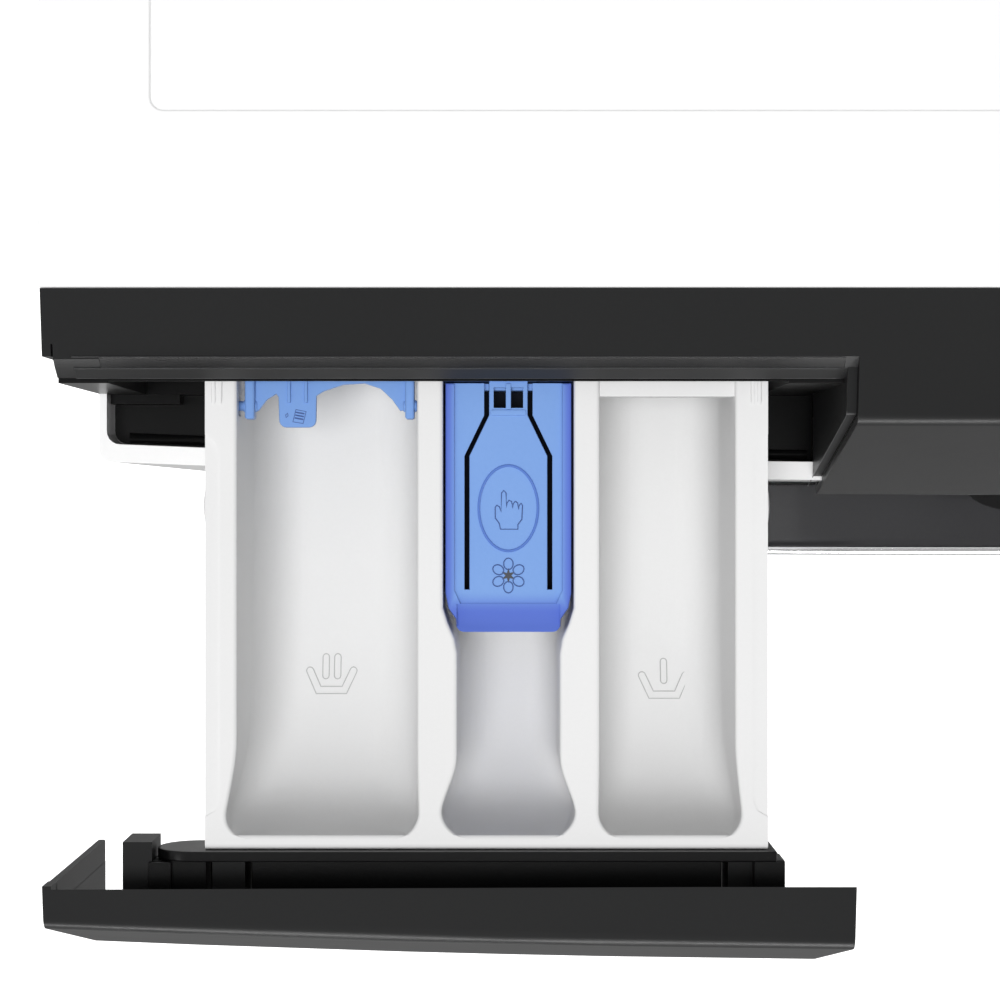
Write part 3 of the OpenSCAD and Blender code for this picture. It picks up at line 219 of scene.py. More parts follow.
def build_brushing():
    """Fine parallel scratches, long in X and short in the other two directions."""
    group, gin, gout = node_group(
        "brushing",
        [("Stretch", "NodeSocketFloat", 60.0)],
        [("Height", "NodeSocketFloat")],
    )
    coord = group.nodes.new("ShaderNodeTexCoord")
    squeeze = group.nodes.new("ShaderNodeMapping")
    squeeze.inputs["Scale"].default_value = (1.0, 40.0, 40.0)
    group.links.new(coord.outputs["Object"], squeeze.inputs["Vector"])
    lines = noise(group, 60.0, 4.0, 0.6, squeeze.outputs["Vector"])
    group.links.new(gin.outputs["Stretch"], lines.inputs["Scale"])
    group.links.new(lines.outputs["Fac"], gout.inputs["Height"])
    return group


TONE = build_tone_drift()
GLOSS = build_gloss_drift()
GRAIN = build_surface_grain()
BRUSH = build_brushing()


def rgb(value):
    return (value[0], value[1], value[2], 1.0)


def surface(
    name,
    light,
    dark,
    rough,
    spread=0.08,
    tone_scale=8.0,
    bump=0.05,
    fine=1500.0,
    ripple=60.0,
    share=0.4,
    metal=0.0,
    coat=0.0,
    brushed=False,
    specular=0.5,
):
    """A finish with drifting colour and gloss and a real skin."""
    mat = bpy.data.materials.new(name)
    mat.use_nodes = True
    tree = mat.node_tree
    shader = tree.nodes["Principled BSDF"]
    shader.inputs["Metallic"].default_value = metal
    shader.inputs["Coat Weight"].default_value = coat
    shader.inputs["Coat Roughness"].default_value = 0.08
    shader.inputs["Specular IOR Level"].default_value = specular
    tone = tree.nodes.new("ShaderNodeGroup")
    tone.node_tree = TONE
    tone.inputs["Light"].default_value = rgb(light)
    tone.inputs["Dark"].default_value = rgb(dark)
    tone.inputs["Scale"].default_value = tone_scale
    tree.links.new(tone.outputs["Color"], shader.inputs["Base Color"])
    gloss = tree.nodes.new("ShaderNodeGroup")
    gloss.node_tree = GLOSS
    gloss.inputs["Roughness"].default_value = rough
    gloss.inputs["Spread"].default_value = spread
    tree.links.new(gloss.outputs["Roughness"], shader.inputs["Roughness"])
    skin = tree.nodes.new("ShaderNodeGroup")
    skin.node_tree = BRUSH if brushed else GRAIN
    if not brushed:
        skin.inputs["Fine"].default_value = fine
        skin.inputs["Ripple"].default_value = ripple
        skin.inputs["Ripple share"].default_value = share
    relief = tree.nodes.new("ShaderNodeBump")
    relief.inputs["Strength"].default_value = bump
    relief.inputs["Distance"].default_value = 0.001
    tree.links.new(skin.outputs["Height"], relief.inputs["Height"])
    tree.links.new(relief.outputs["Normal"], shader.inputs["Normal"])
    return mat


def glass_surface(name, tint, rough):
    mat = bpy.data.materials.new(name)
    mat.use_nodes = True
    tree = mat.node_tree
    shader = tree.nodes["Principled BSDF"]
    shader.inputs["Base Color"].default_value = rgb(tint)
    shader.inputs["Transmission Weight"].default_value = 0.92
    shader.inputs["IOR"].default_value = 1.47
    gloss = tree.nodes.new("ShaderNodeGroup")
    gloss.node_tree = GLOSS
    gloss.inputs["Roughness"].default_value = rough
    gloss.inputs["Spread"].default_value = 0.03
    tree.links.new(gloss.outputs["Roughness"], shader.inputs["Roughness"])
    return mat


BLUE = ((0.205, 0.365, 0.735), (0.180, 0.335, 0.700), 0.34, 0.08, 14.0, 0.04, 1600, 120, 0.3)

M = {
    "enamel": surface(
        "white_enamel", (0.90, 0.90, 0.90), (0.87, 0.87, 0.87), 0.3, 0.05, 3.0, 0.04, 700, 140, 0.6, coat=0.3
    ),
    "worktop": surface(
        "worktop_laminate", (0.93, 0.93, 0.93), (0.90, 0.90, 0.90), 0.42, 0.06, 3.0, 0.03, 900, 200, 0.3
    ),
    "galvanised": surface(
        "galvanised_sheet", (0.62, 0.63, 0.65), (0.48, 0.49, 0.51), 0.42, 0.2, 45.0, 0.05, metal=0.85
    ),
    "fascia": surface(
        "dark_fascia_plastic", (0.0165, 0.0167, 0.0170), (0.0140, 0.0142, 0.0146), 0.38, 0.05, 5.0, 0.03,
        1900, 300, 0.25, specular=0.3
    ),
    # darker, glossier copy of the fascia plastic; its darker colour is painted shade for the steep upper flat
    # of the lip
    "gloss": surface(
        "lip_strip_painted_shade", (0.004, 0.004, 0.0045), (0.003, 0.003, 0.0034), 0.22, 0.05, 9.0, 0.01,
        specular=0.3
    ),
    "black": surface(
        "black_moulding", (0.0042, 0.0042, 0.0044), (0.0030, 0.0030, 0.0032), 0.30, 0.1, 9.0, 0.05,
        specular=0.45
    ),
    "tray": surface(
        "white_tray_plastic", (0.795, 0.795, 0.795), (0.765, 0.765, 0.765), 0.36, 0.08, 10.0, 0.03,
        1600, 90, 0.3
    ),
    "housing": surface("grey_housing", (0.55, 0.55, 0.54), (0.48, 0.48, 0.47), 0.5, 0.1, 12.0, 0.06),
    "blue": surface("blue_insert_plastic", *BLUE),
    "board": surface("circuit_cover", (0.05, 0.12, 0.07), (0.03, 0.09, 0.05), 0.55, 0.1, 20.0, 0.08),
    "screen": surface(
        "smoked_screen", (0.006, 0.006, 0.008), (0.004, 0.004, 0.005), 0.08, 0.03, 6.0, 0.01, coat=0.6
    ),
    "base": surface("dark_base_plastic", (0.035, 0.035, 0.037), (0.022, 0.022, 0.024), 0.55, 0.12, 20.0, 0.1),
    "zinc": surface(
        "zinc_plated_steel", (0.58, 0.58, 0.57), (0.46, 0.46, 0.45), 0.34, 0.15, 30.0, 0.05, metal=0.95
    ),
    "gasket": surface("door_gasket_rubber", (0.16, 0.16, 0.165), (0.11, 0.11, 0.115), 0.55, 0.15, 18.0, 0.08),
    "rubber": surface("foot_rubber", (0.028, 0.028, 0.028), (0.018, 0.018, 0.018), 0.75, 0.12, 25.0, 0.15),
    "door": surface(
        "dark_door_plastic", (0.026, 0.026, 0.028), (0.021, 0.021, 0.023), 0.26, 0.07, 6.0, 0.02, coat=0.4
    ),
    "silver": surface(
        "satin_silver_trim", (0.86, 0.865, 0.87), (0.80, 0.805, 0.81), 0.24, 0.06, 10.0, 0.02, metal=0.85
    ),
    "tub": surface("grey_tub_polymer", (0.46, 0.465, 0.47), (0.38, 0.385, 0.39), 0.6, 0.1, 16.0, 0.12),
    "weight": surface(
        "cast_concrete", (0.40, 0.39, 0.37), (0.24, 0.235, 0.225), 0.85, 0.1, 60.0, 0.5, 500, 120, 0.5
    ),
    "stainless": surface(
        "drum_stainless", (0.66, 0.67, 0.68), (0.56, 0.57, 0.58), 0.26, 0.12, 12.0, 0.05,
        metal=1.0, brushed=True
    ),
    "alloy": surface(
        "cast_alloy", (0.55, 0.56, 0.57), (0.42, 0.43, 0.44), 0.5, 0.2, 40.0, 0.25, 700, 90, metal=0.9
    ),
    "lifter": surface("grey_lifter", (0.38, 0.39, 0.40), (0.33, 0.34, 0.35), 0.35, 0.1, 14.0, 0.04),
    "motor": surface(
        "motor_casing", (0.16, 0.16, 0.165), (0.10, 0.10, 0.105), 0.55, 0.2, 35.0, 0.2, metal=0.6
    ),
    "key": surface("satin_key", (0.36, 0.365, 0.37), (0.31, 0.315, 0.32), 0.3, 0.08, 14.0, 0.03, metal=0.4),
    "filter": surface("blue_filter", (0.07, 0.16, 0.30), (0.05, 0.12, 0.24), 0.42, 0.1, 16.0, 0.06),
    "inner": surface("dark_inner_ring", (0.05, 0.05, 0.052), (0.035, 0.035, 0.037), 0.45, 0.1, 14.0, 0.05),
    "lid_blue": surface("blue_lid_plastic", *BLUE),
    # lighter copy of the fascia colour, used for painted highlight lines along the fascia's bends
    "sheen": surface("painted_edge_highlight", (0.060, 0.060, 0.062), (0.048, 0.048, 0.050), 0.3, 0.05, 20.0, 0.02),
    # darker copy of the tray plastic: painted shade on the sides of the raised moulded lines
    "tray_line": surface("tray_mould_painted_shade", (0.50, 0.50, 0.50), (0.45, 0.45, 0.45), 0.4, 0.05, 20.0, 0.02),
    # darker copy of the blue plastic: painted shade on the raised oval's ridge
    "blue_line": surface("blue_oval_painted_shade", (0.115, 0.225, 0.62), (0.10, 0.20, 0.57), 0.35, 0.05, 20.0, 0.02),
    # darker copy of the blue plastic: painted shade on the raised sign lines
    "blue_dark": surface("blue_signs_painted_shade", (0.075, 0.130, 0.33), (0.06, 0.11, 0.29), 0.4, 0.05, 20.0, 0.02),
    # near-black colour: painted shadow inside the lid's hollow
    "lid_shadow": surface("lid_hollow_painted_shadow", (0.008, 0.009, 0.014), (0.005, 0.006, 0.010), 0.6, 0.05, 20.0, 0.02),
    "centre": surface("grey_flower_centre", (0.10, 0.105, 0.12), (0.07, 0.075, 0.09), 0.4, 0.05, 20.0, 0.02),
    "glass": glass_surface("bowl_glass", (0.86, 0.91, 0.91), 0.04),
}



def paint_edge_shade(mat, middle, half, soft, front, front_soft, tint):
    """Paints shade into a finish: darkens it towards two sides in X and towards a line in Y (metres)."""
    tree = mat.node_tree
    shader = tree.nodes["Principled BSDF"]
    base = shader.inputs["Base Color"].links[0].from_socket
    coord = tree.nodes.new("ShaderNodeTexCoord")
    split = tree.nodes.new("ShaderNodeSeparateXYZ")
    tree.links.new(coord.outputs["Object"], split.inputs["Vector"])
    away = tree.nodes.new("ShaderNodeMath")
    away.operation = "SUBTRACT"
    away.inputs[1].default_value = middle
    tree.links.new(split.outputs["X"], away.inputs[0])
    size = tree.nodes.new("ShaderNodeMath")
    size.operation = "ABSOLUTE"
    tree.links.new(away.outputs[0], size.inputs[0])
    side = tree.nodes.new("ShaderNodeMapRange")
    side.interpolation_type = "SMOOTHSTEP"
    side.inputs["From Min"].default_value = half - soft
    side.inputs["From Max"].default_value = half
    tree.links.new(size.outputs[0], side.inputs["Value"])
    near = tree.nodes.new("ShaderNodeMapRange")
    near.interpolation_type = "SMOOTHSTEP"
    near.inputs["From Min"].default_value = front + front_soft
    near.inputs["From Max"].default_value = front
    tree.links.new(split.outputs["Y"], near.inputs["Value"])
    most = tree.nodes.new("ShaderNodeMath")
    most.operation = "MAXIMUM"
    tree.links.new(side.outputs["Result"], most.inputs[0])
    tree.links.new(near.outputs["Result"], most.inputs[1])
    mix = tree.nodes.new("ShaderNodeMix")
    mix.data_type = "RGBA"
    tree.links.new(most.outputs[0], mix.inputs["Factor"])
    tree.links.new(base, mix.inputs["A"])
    mix.inputs["B"].default_value = rgb(tint)
    tree.links.new(mix.outputs["Result"], shader.inputs["Base Color"])


# painted shade: the blue lid's colour darkens towards its side rails and its dipped front
paint_edge_shade(
    M["lid_blue"],
    LID_MID * MM,
    18.6 * MM,
    3.4 * MM,
    (ROW_Y + DRAWER_OUT + LID_FRONT + 6.0) * MM,
    7.0 * MM,
    (0.100, 0.170, 0.60),
)

# ---------------------------------------------------------------- mesh tools


def box(low, high):
    """Axis-aligned block as its own bmesh."""
    bm = bmesh.new()
    bmesh.ops.create_cube(bm, size=1.0)
    size = [b - a for a, b in zip(low, high)]
    middle = [(a + b) / 2 for a, b in zip(low, high)]
    bmesh.ops.scale(bm, vec=size, verts=bm.verts)
    bmesh.ops.translate(bm, vec=middle, verts=bm.verts)
    return bm


def disc(centre, radius, low, high, axis="Z", segments=48):
    """Cylinder from low to high along an axis through centre (the two other coordinates)."""
    bm = bmesh.new()
    bmesh.ops.create_cone(
        bm, cap_ends=True, segments=segments, radius1=radius, radius2=radius, depth=high - low
    )
    mid = (low + high) / 2
    if axis == "X":
        bmesh.ops.rotate(bm, matrix=Matrix.Rotation(math.pi / 2, 3, "Y"), verts=bm.verts)
        bmesh.ops.translate(bm, vec=(mid, centre[0], centre[1]), verts=bm.verts)
    elif axis == "Y":
        bmesh.ops.rotate(bm, matrix=Matrix.Rotation(math.pi / 2, 3, "X"), verts=bm.verts)
        bmesh.ops.translate(bm, vec=(centre[0], mid, centre[1]), verts=bm.verts)
    else:
        bmesh.ops.translate(bm, vec=(centre[0], centre[1], mid), verts=bm.verts)
    return bm


def slab(outline, plane, low, high):
    """Flat outline (two coordinates) raised into a solid from low to high.
    plane "XY" rises along Z, "YZ" along X and "XZ" along Y."""
    bm = bmesh.new()
    place = {
        "XY": lambda a, b, c: (a, b, c),
        "YZ": lambda a, b, c: (c, a, b),
        "XZ": lambda a, b, c: (a, c, b),
    }[plane]
    verts = [bm.verts.new(place(a, b, low)) for a, b in outline]
    face = bm.faces.new(verts)
    grown = bmesh.ops.extrude_face_region(bm, geom=[face])
    new = [g for g in grown["geom"] if isinstance(g, bmesh.types.BMVert)]
    bmesh.ops.translate(bm, vec=place(0, 0, high - low), verts=new)
    bmesh.ops.recalc_face_normals(bm, faces=bm.faces)
    return bm


def soften(bm, width, segments=2, edges=None, angle=30.0):
    """Rounds the edges that turn by more than angle."""
    if edges is None:
        limit = math.radians(angle)
        edges = [e for e in bm.edges if len(e.link_faces) == 2 and e.calc_face_angle(0) > limit]
    if edges:
        bmesh.ops.bevel(
            bm,
            geom=edges,
            offset=width,
            offset_type="OFFSET",
            segments=segments,
            profile=0.5,
            affect="EDGES",
            clamp_overlap=True,
            material=-1,
        )
    return bm


def join(*parts):
    """One bmesh from several, each freed."""
    out = bmesh.new()
    for part in parts:
        mesh = bpy.data.meshes.new("part")
        part.to_mesh(mesh)
        out.from_mesh(mesh)
        bpy.data.meshes.remove(mesh)
        part.free()
    return out


def settle(bm, dy=0.0):
    """Turns millimetres in the maker's frame into metres in the row frame."""
    bmesh.ops.translate(bm, vec=(0, ROW_Y + dy, 0), verts=bm.verts)
    bmesh.ops.scale(bm, vec=(MM, MM, MM), verts=bm.verts)
    return bm


def show(name, bm, material, body, nodes=(), smooth=32.0, weighted=True):
    """Makes the object, rides it on its body and lets it stand for its CAD nodes."""
    mesh = bpy.data.meshes.new(name)
    bm.to_mesh(mesh)
    bm.free()
    mesh.polygons.foreach_set("use_smooth", [True] * len(mesh.polygons))
    mesh.set_sharp_from_angle(angle=math.radians(smooth))
    mesh.materials.append(M[material])
    obj = bpy.data.objects.new(name, mesh)
    bpy.context.scene.collection.objects.link(obj)
    if weighted:
        even = obj.modifiers.new("even_normals", "WEIGHTED_NORMAL")
        even.keep_sharp = True
        even.weight = 60
    if body:
        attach(obj, body)
    if nodes:
        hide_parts(*nodes)
    return obj


def cad_copy(node):
    """Merged copy of a CAD node's mesh, with its flat triangles joined up, in metres."""
    bm = bmesh.new()
    bm.from_mesh(frame["nodes"][node].data)
    bmesh.ops.remove_doubles(bm, verts=bm.verts, dist=2e-6)
    bmesh.ops.dissolve_limit(
        bm,
        angle_limit=math.radians(0.4),
        use_dissolve_boundaries=False,
        verts=bm.verts,
        edges=bm.edges,
    )
    return bm


BODY_OF = {n: b for b, ns in frame["record"]["behaviour"]["bodies"].items() for n in ns}


def refine(node, material, width, segments=2, angle=30.0, smooth=32.0):
    """A CAD node again, with its hard edges rounded by width millimetres."""
    bm = cad_copy(node)
    soften(bm, width * MM, segments, angle=angle)
    return show(node + "_finish", bm, material, BODY_OF[node], [node], smooth)


def refine_front(node, material, width, corner):
    """As refine, with the outer upright corner at the machine's left rounded by corner."""
    bm = cad_copy(node)
    left = -(HALF - 0.05) * MM
    upright = [
        e
        for e in bm.edges
        if len(e.link_faces) == 2
        and all(v.co.x < left for v in e.verts)
        and any(f.normal.x < -0.9 for f in e.link_faces)
        and any(f.normal.x > -0.4 and (f.normal.y < -0.3 or f.normal.z > 0.5) for f in e.link_faces)
        and sum(v.co.y for v in e.verts) / 2 < min(v.co.y for v in bm.verts) + 0.012
    ]
    soften(bm, corner * MM, 6, upright)
    soften(bm, width * MM, 2, angle=34.0)
    return show(node + "_finish", bm, material, BODY_OF[node], [node])


def paint(node, material):
    """Keeps a CAD node's own mesh and gives it a finish."""
    obj = frame["nodes"][node]
    obj.data.materials.clear()
    obj.data.materials.append(M[material])


def cord_line(name, lines, radius, material, body, dy=0.0, closed=True):
    """Raised moulded lines: each is a list of points swept with a small round section."""
    curve = bpy.data.curves.new(name, "CURVE")
    curve.dimensions = "3D"
    curve.bevel_depth = radius
    curve.bevel_resolution = 2
    for points in lines:
        spline = curve.splines.new("POLY")
        spline.points.add(len(points) - 1)
        for p, co in zip(spline.points, points):
            p.co = (co[0], co[1], co[2], 1)
        spline.use_cyclic_u = closed
    holder = bpy.data.objects.new(name + "_path", curve)
    bpy.context.scene.collection.objects.link(holder)
    bpy.context.view_layer.update()
    mesh = bpy.data.meshes.new_from_object(holder)
    bpy.data.objects.remove(holder)
    bpy.data.curves.remove(curve)
    bm = bmesh.new()
    bm.from_mesh(mesh)
    bpy.data.meshes.remove(mesh)
    settle(bm, dy)
    return show(name, bm, material, body, smooth=60.0, weighted=False)


def arc(cx, cy, r, start, end, n):
    """Points on a circle between two angles in degrees."""
    out = []
    for i in range(n + 1):
        a = math.radians(start + (end - start) * i / n)
        out.append((cx + r * math.cos(a), cy + r * math.sin(a)))
    return out


def smooth_path(points, n=6):
    """Catmull-Rom points through the given ones, ends kept."""
    pts = [points[0]] + list(points) + [points[-1]]
    out = []
    for i in range(1, len(pts) - 2):
        p0, p1, p2, p3 = pts[i - 1 : i + 3]
        for k in range(n):
            t = k / n
            out.append(
                tuple(
                    0.5
                    * (
                        2 * b
                        + (c - a) * t
                        + (2 * a - 5 * b + 4 * c - d) * t * t
                        + (3 * b - a - 3 * c + d) * t**3
                    )
                    for a, b, c, d in zip(p0, p1, p2, p3)
                )
            )
    out.append(tuple(pts[-2]))
    return out


def carve(target, cutters):
    """Takes the cutters out of target with a boolean, and applies it."""
    base = bpy.data.meshes.new("carve_base")
    target.to_mesh(base)
    target.free()
    obj = bpy.data.objects.new("carve", base)
    bpy.context.scene.collection.objects.link(obj)
    tools = []
    for cutter in cutters:
        mesh = bpy.data.meshes.new("carve_tool")
        cutter.to_mesh(mesh)
        cutter.free()
        tool = bpy.data.objects.new("carve_tool", mesh)
        bpy.context.scene.collection.objects.link(tool)
        tools.append(tool)
        cut = obj.modifiers.new("cut", "BOOLEAN")
        cut.operation = "DIFFERENCE"
        cut.solver = "EXACT"
        cut.object = tool
    bpy.context.view_layer.update()
    graph = bpy.context.evaluated_depsgraph_get()
    mesh = bpy.data.meshes.new_from_object(obj.evaluated_get(graph))
    out = bmesh.new()
    out.from_mesh(mesh)
    for old in [obj] + tools:
        data = old.data
        bpy.data.objects.remove(old)
        bpy.data.meshes.remove(data)
    bpy.data.meshes.remove(mesh)
    bmesh.ops.remove_doubles(out, verts=out.verts, dist=1e-4)
    bmesh.ops.recalc_face_normals(out, faces=out.faces)
    return out


# ---------------------------------------------------------------- cabinet


refine("worktop", "worktop", 1.3, 3)

for node, material, width in (
    ("front_panel", "enamel", 0.5),
    ("kick_plate", "tray", 0.6),
    ("filter_flap", "tray", 0.8),
    ("rear_panel", "galvanised", 0.5),
    ("transit_caps", "base", 0.8),
    ("mains_inlet", "base", 0.6),
    ("inlet_valve", "housing", 0.7),
    ("rear_screws", "zinc", 0.4),
    ("control_fascia", "fascia", 0.35),
    ("dispenser_shroud", "black", 0.6),
    ("drawer_bracket", "black", 0.6),
    ("siphon_cover", "blue", 0.8),
    ("door_hinge", "zinc", 0.6),
    ("door_hook", "zinc", 0.6),
    ("filter_cap", "filter", 0.8),
    ("programme_knob", "fascia", 0.7),
    ("power_button", "key", 0.5),
    ("start_button", "key", 0.5),
    ("foot_front_left", "rubber", 0.8),
    ("foot_front_right", "rubber", 0.8),
    ("foot_rear_left", "rubber", 0.8),
    ("foot_rear_right", "rubber", 0.8),
    ("counterweight_front", "weight", 2.0),
    ("counterweight_top", "weight", 2.5),
    ("door_frame", "door", 1.2),
    ("door_trim", "silver", 0.7),
    ("door_inner_ring", "inner", 0.8),
):
    refine(node, material, width)

for node, material in (
    ("cabinet_shell", "enamel"),
    ("cross_rail", "galvanised"),
    ("base_tray", "base"),
    ("dispenser_housing", "housing"),
    ("control_board", "board"),
    ("display_window", "screen"),
    ("drain_pump", "base"),
    ("door_lock", "base"),
    ("foot_nuts", "zinc"),
    ("door_glass", "glass"),
    ("tub_front", "tub"),
    ("tub_rear", "tub"),
    ("heater", "stainless"),
    ("drum_bearings", "zinc"),
    ("motor_body", "motor"),
    ("drive_belt", "rubber"),
    ("drum_shell", "stainless"),
    ("drum_spider", "alloy"),
    ("drum_lifters", "lifter"),
    ("drum_pulley", "alloy"),
    ("motor_pulley", "zinc"),
    ("damper_cylinder_left", "base"),
    ("damper_cylinder_right", "base"),
    ("damper_rod_left", "zinc"),
    ("damper_rod_right", "zinc"),
):
    paint(node, material)

# rubber gasket: merged copy of the CAD node on no body, with its placement baked in
gasket_bm = cad_copy("door_gasket")
gasket = show("door_gasket_finish", gasket_bm, "gasket", None, ["door_gasket"])
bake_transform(gasket)

# suspension springs: merged copy of the CAD node on no body, with its placement baked in
springs_bm = cad_copy("tub_springs")
springs = show("tub_springs_finish", springs_bm, "zinc", None, ["tub_springs"])
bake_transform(springs)

refine_front("drawer_front", "fascia", 0.3, 3.6)

# end wing of the drawer front, reaching back past its rim on the machine's left
WING_FRONT, WING_BACK = -28.6, -20.8
WING_LOW, WING_TOP, WING_DROP = 746.0, 838.0, 3.5
wing = slab(
    [
        (WING_FRONT, WING_TOP),
        (WING_BACK, WING_TOP - WING_DROP),
        (WING_BACK, WING_LOW),
        (WING_FRONT, WING_LOW),
    ],
    "YZ",
    -HALF + 0.2,
    -HALF + 2.7,
)
show(
    "drawer_front_wing",
    settle(soften(wing, 0.4, 2), DRAWER_OUT),
    "fascia",
    "drawer",
)

# moulded blocks at both ends of the bracket
BLOCK_FRONT, BLOCK_LOW, BLOCK_TOP = -27.0, RIM_Z - 12, RIM_Z + 2.6
for index, (low, high) in enumerate(
    (
        ((-269.4, BLOCK_FRONT, BLOCK_LOW), (-262.4, -15.6, BLOCK_TOP)),
        ((-263.0, BLOCK_FRONT, BLOCK_LOW), (-252.0, -12.4, RIM_Z + 0.4)),
        ((-86.2, BLOCK_FRONT, BLOCK_LOW), (-76.8, -15.0, BLOCK_TOP)),
    )
):
    show(
        f"bracket_block_{index + 1}",
        settle(soften(box(low, high), 0.5, 2), DRAWER_OUT),
        "black",
        "drawer",
    )

# ---------------------------------------------------------------- drawer tray

FLOOR_LINE = [  # (Y, depth below the rim) along the bottom of a compartment, front to back
    (TRAY_FRONT + 4.6, 9.0),
    (TRAY_FRONT + 6.2, 19.0),
    (TRAY_FRONT + 10.5, 29.5),
    (TRAY_FRONT + 18.0, 38.5),
    (TRAY_FRONT + 29.0, 46.5),
    (TRAY_FRONT + 44.0, 53.0),
    (TRAY_FRONT + 64.0, 58.0),
    (TRAY_FRONT + 90.0, 60.8),
    (TRAY_FRONT + 130.0, 61.8),
    (TRAY_REAR - 4.5, 62.0),
]
RIM_ROUND = 1.3


def ease(t):
    """0 to 1 with soft ends."""
    t = max(0.0, min(1.0, t))
    return t * t * (3 - 2 * t)


def floor_at(y):
    """Height of a compartment's bottom at y."""
    line = smooth_path(FLOOR_LINE, 6)
    for (y0, d0), (y1, d1) in zip(line, line[1:]):
        if y0 <= y <= y1:
            return RIM_Z - (d0 + (d1 - d0) * (y - y0) / (y1 - y0))
    return RIM_Z - line[-1][1]


def scoop(left, right, fillet, corner):
    """Cutter for one compartment, lofted through stations from its front rim to its back.
    left and right give the side walls' X at a station's Y."""
    e = RIM_ROUND
    front = FLOOR_LINE[0][0]
    lip = [(front - e + e * math.sin(a), e * (1 - math.cos(a)) - 0.02) for a in (0.0, 0.5, 1.0, 1.35)]
    stations = [(y, d) for y, d in lip] + smooth_path(FLOOR_LINE, 5)
    bm = bmesh.new()
    rings = []
    n = 8
    for y, deep in stations:
        run_in = max(0.0, corner - (y - (front - e)))
        pinch = corner - math.sqrt(max(corner * corner - run_in * run_in, 0.0))
        xl, xr = left(y) + pinch, right(y) - pinch
        z = RIM_Z - max(deep, 0.0)
        r = max(0.02, min(fillet, (deep - e) * 0.95, (xr - xl) * 0.49))
        round_top = min(e, max(deep, 0.02))
        half = [(-round_top, RIM_Z + 3.0), (-round_top, RIM_Z)]
        half += [
            (-round_top + round_top * math.sin(t), RIM_Z - round_top * (1 - math.cos(t)))
            for t in (0.4, 0.8, 1.2, math.pi / 2)
        ]
        half += [
            (r * (1 - math.cos(t)), min(RIM_Z - round_top, z + r * (1 - math.sin(t))))
            for t in [math.pi / 2 * k / n for k in range(n + 1)]
        ]
        ring = [(xl + u, y, v) for u, v in half] + [(xr - u, y, v) for u, v in reversed(half)]
        rings.append([bm.verts.new(co) for co in ring])
    for one, two in zip(rings, rings[1:]):
        count = len(one)
        for i in range(count):
            j = (i + 1) % count
            bm.faces.new((one[i], one[j], two[j], two[i]))
    bm.faces.new(rings[0])
    bm.faces.new(list(reversed(rings[-1])))
    bmesh.ops.recalc_face_normals(bm, faces=bm.faces)
    return bm


def side_left_main(y):
    return CELL_LEFT[0] - 4.4 * ease((34 - (y - TRAY_FRONT)) / 34)


def side_right_main(y):
    return CELL_LEFT[1] + 0.6 * ease((30 - (y - TRAY_FRONT)) / 30)


def middle_squeeze(y):
    """The softener channel narrows ahead of its lid and opens out again at the front."""
    narrow = ease((62.0 - y) / 14.0)
    wide = ease((16.0 - y) / 19.0)
    return 4.3 * narrow * (1 - wide) - 0.6 * wide


def tray_outline():
    """Side outline of the tray's outside."""
    low = [
        (TRAY_FRONT, RIM_Z),
        (TRAY_FRONT + 0.1, RIM_Z - 12.0),
        (TRAY_FRONT + 2.2, RIM_Z - 24.0),
        (TRAY_FRONT + 7.5, RIM_Z - 36.5),
        (TRAY_FRONT + 17.0, RIM_Z - 46.5),
        (TRAY_FRONT + 31.0, RIM_Z - 54.5),
        (TRAY_FRONT + 51.0, RIM_Z - 60.4),
        (TRAY_FRONT + 78.0, RIM_Z - 63.6),
        (TRAY_FRONT + 112.0, TRAY_LOW),
        (TRAY_REAR, TRAY_LOW),
    ]
    line = smooth_path(low, 4) + [(TRAY_REAR, RIM_Z)]
    return [(min(max(y, TRAY_FRONT), TRAY_REAR), max(z, TRAY_LOW)) for y, z in line]


def side_recess(x, inward):
    """Shallow step along the tray's outer rim, with slanted ends."""
    outline = [
        (x - inward * 1.0, 113.9),
        (x + inward * 0.2, 113.7),
        (x + inward * 3.0, 111.6),
        (x + inward * 4.5, 107.6),
        (x + inward * 4.5, 2.6),
        (x + inward * 3.1, -0.4),
        (x + inward * 0.2, -2.1),
        (x - inward * 1.0, -2.2),
    ]
    if inward < 0:
        outline.reverse()
    return slab(outline, "XY", RIM_Z - 0.55, RIM_Z + 2)


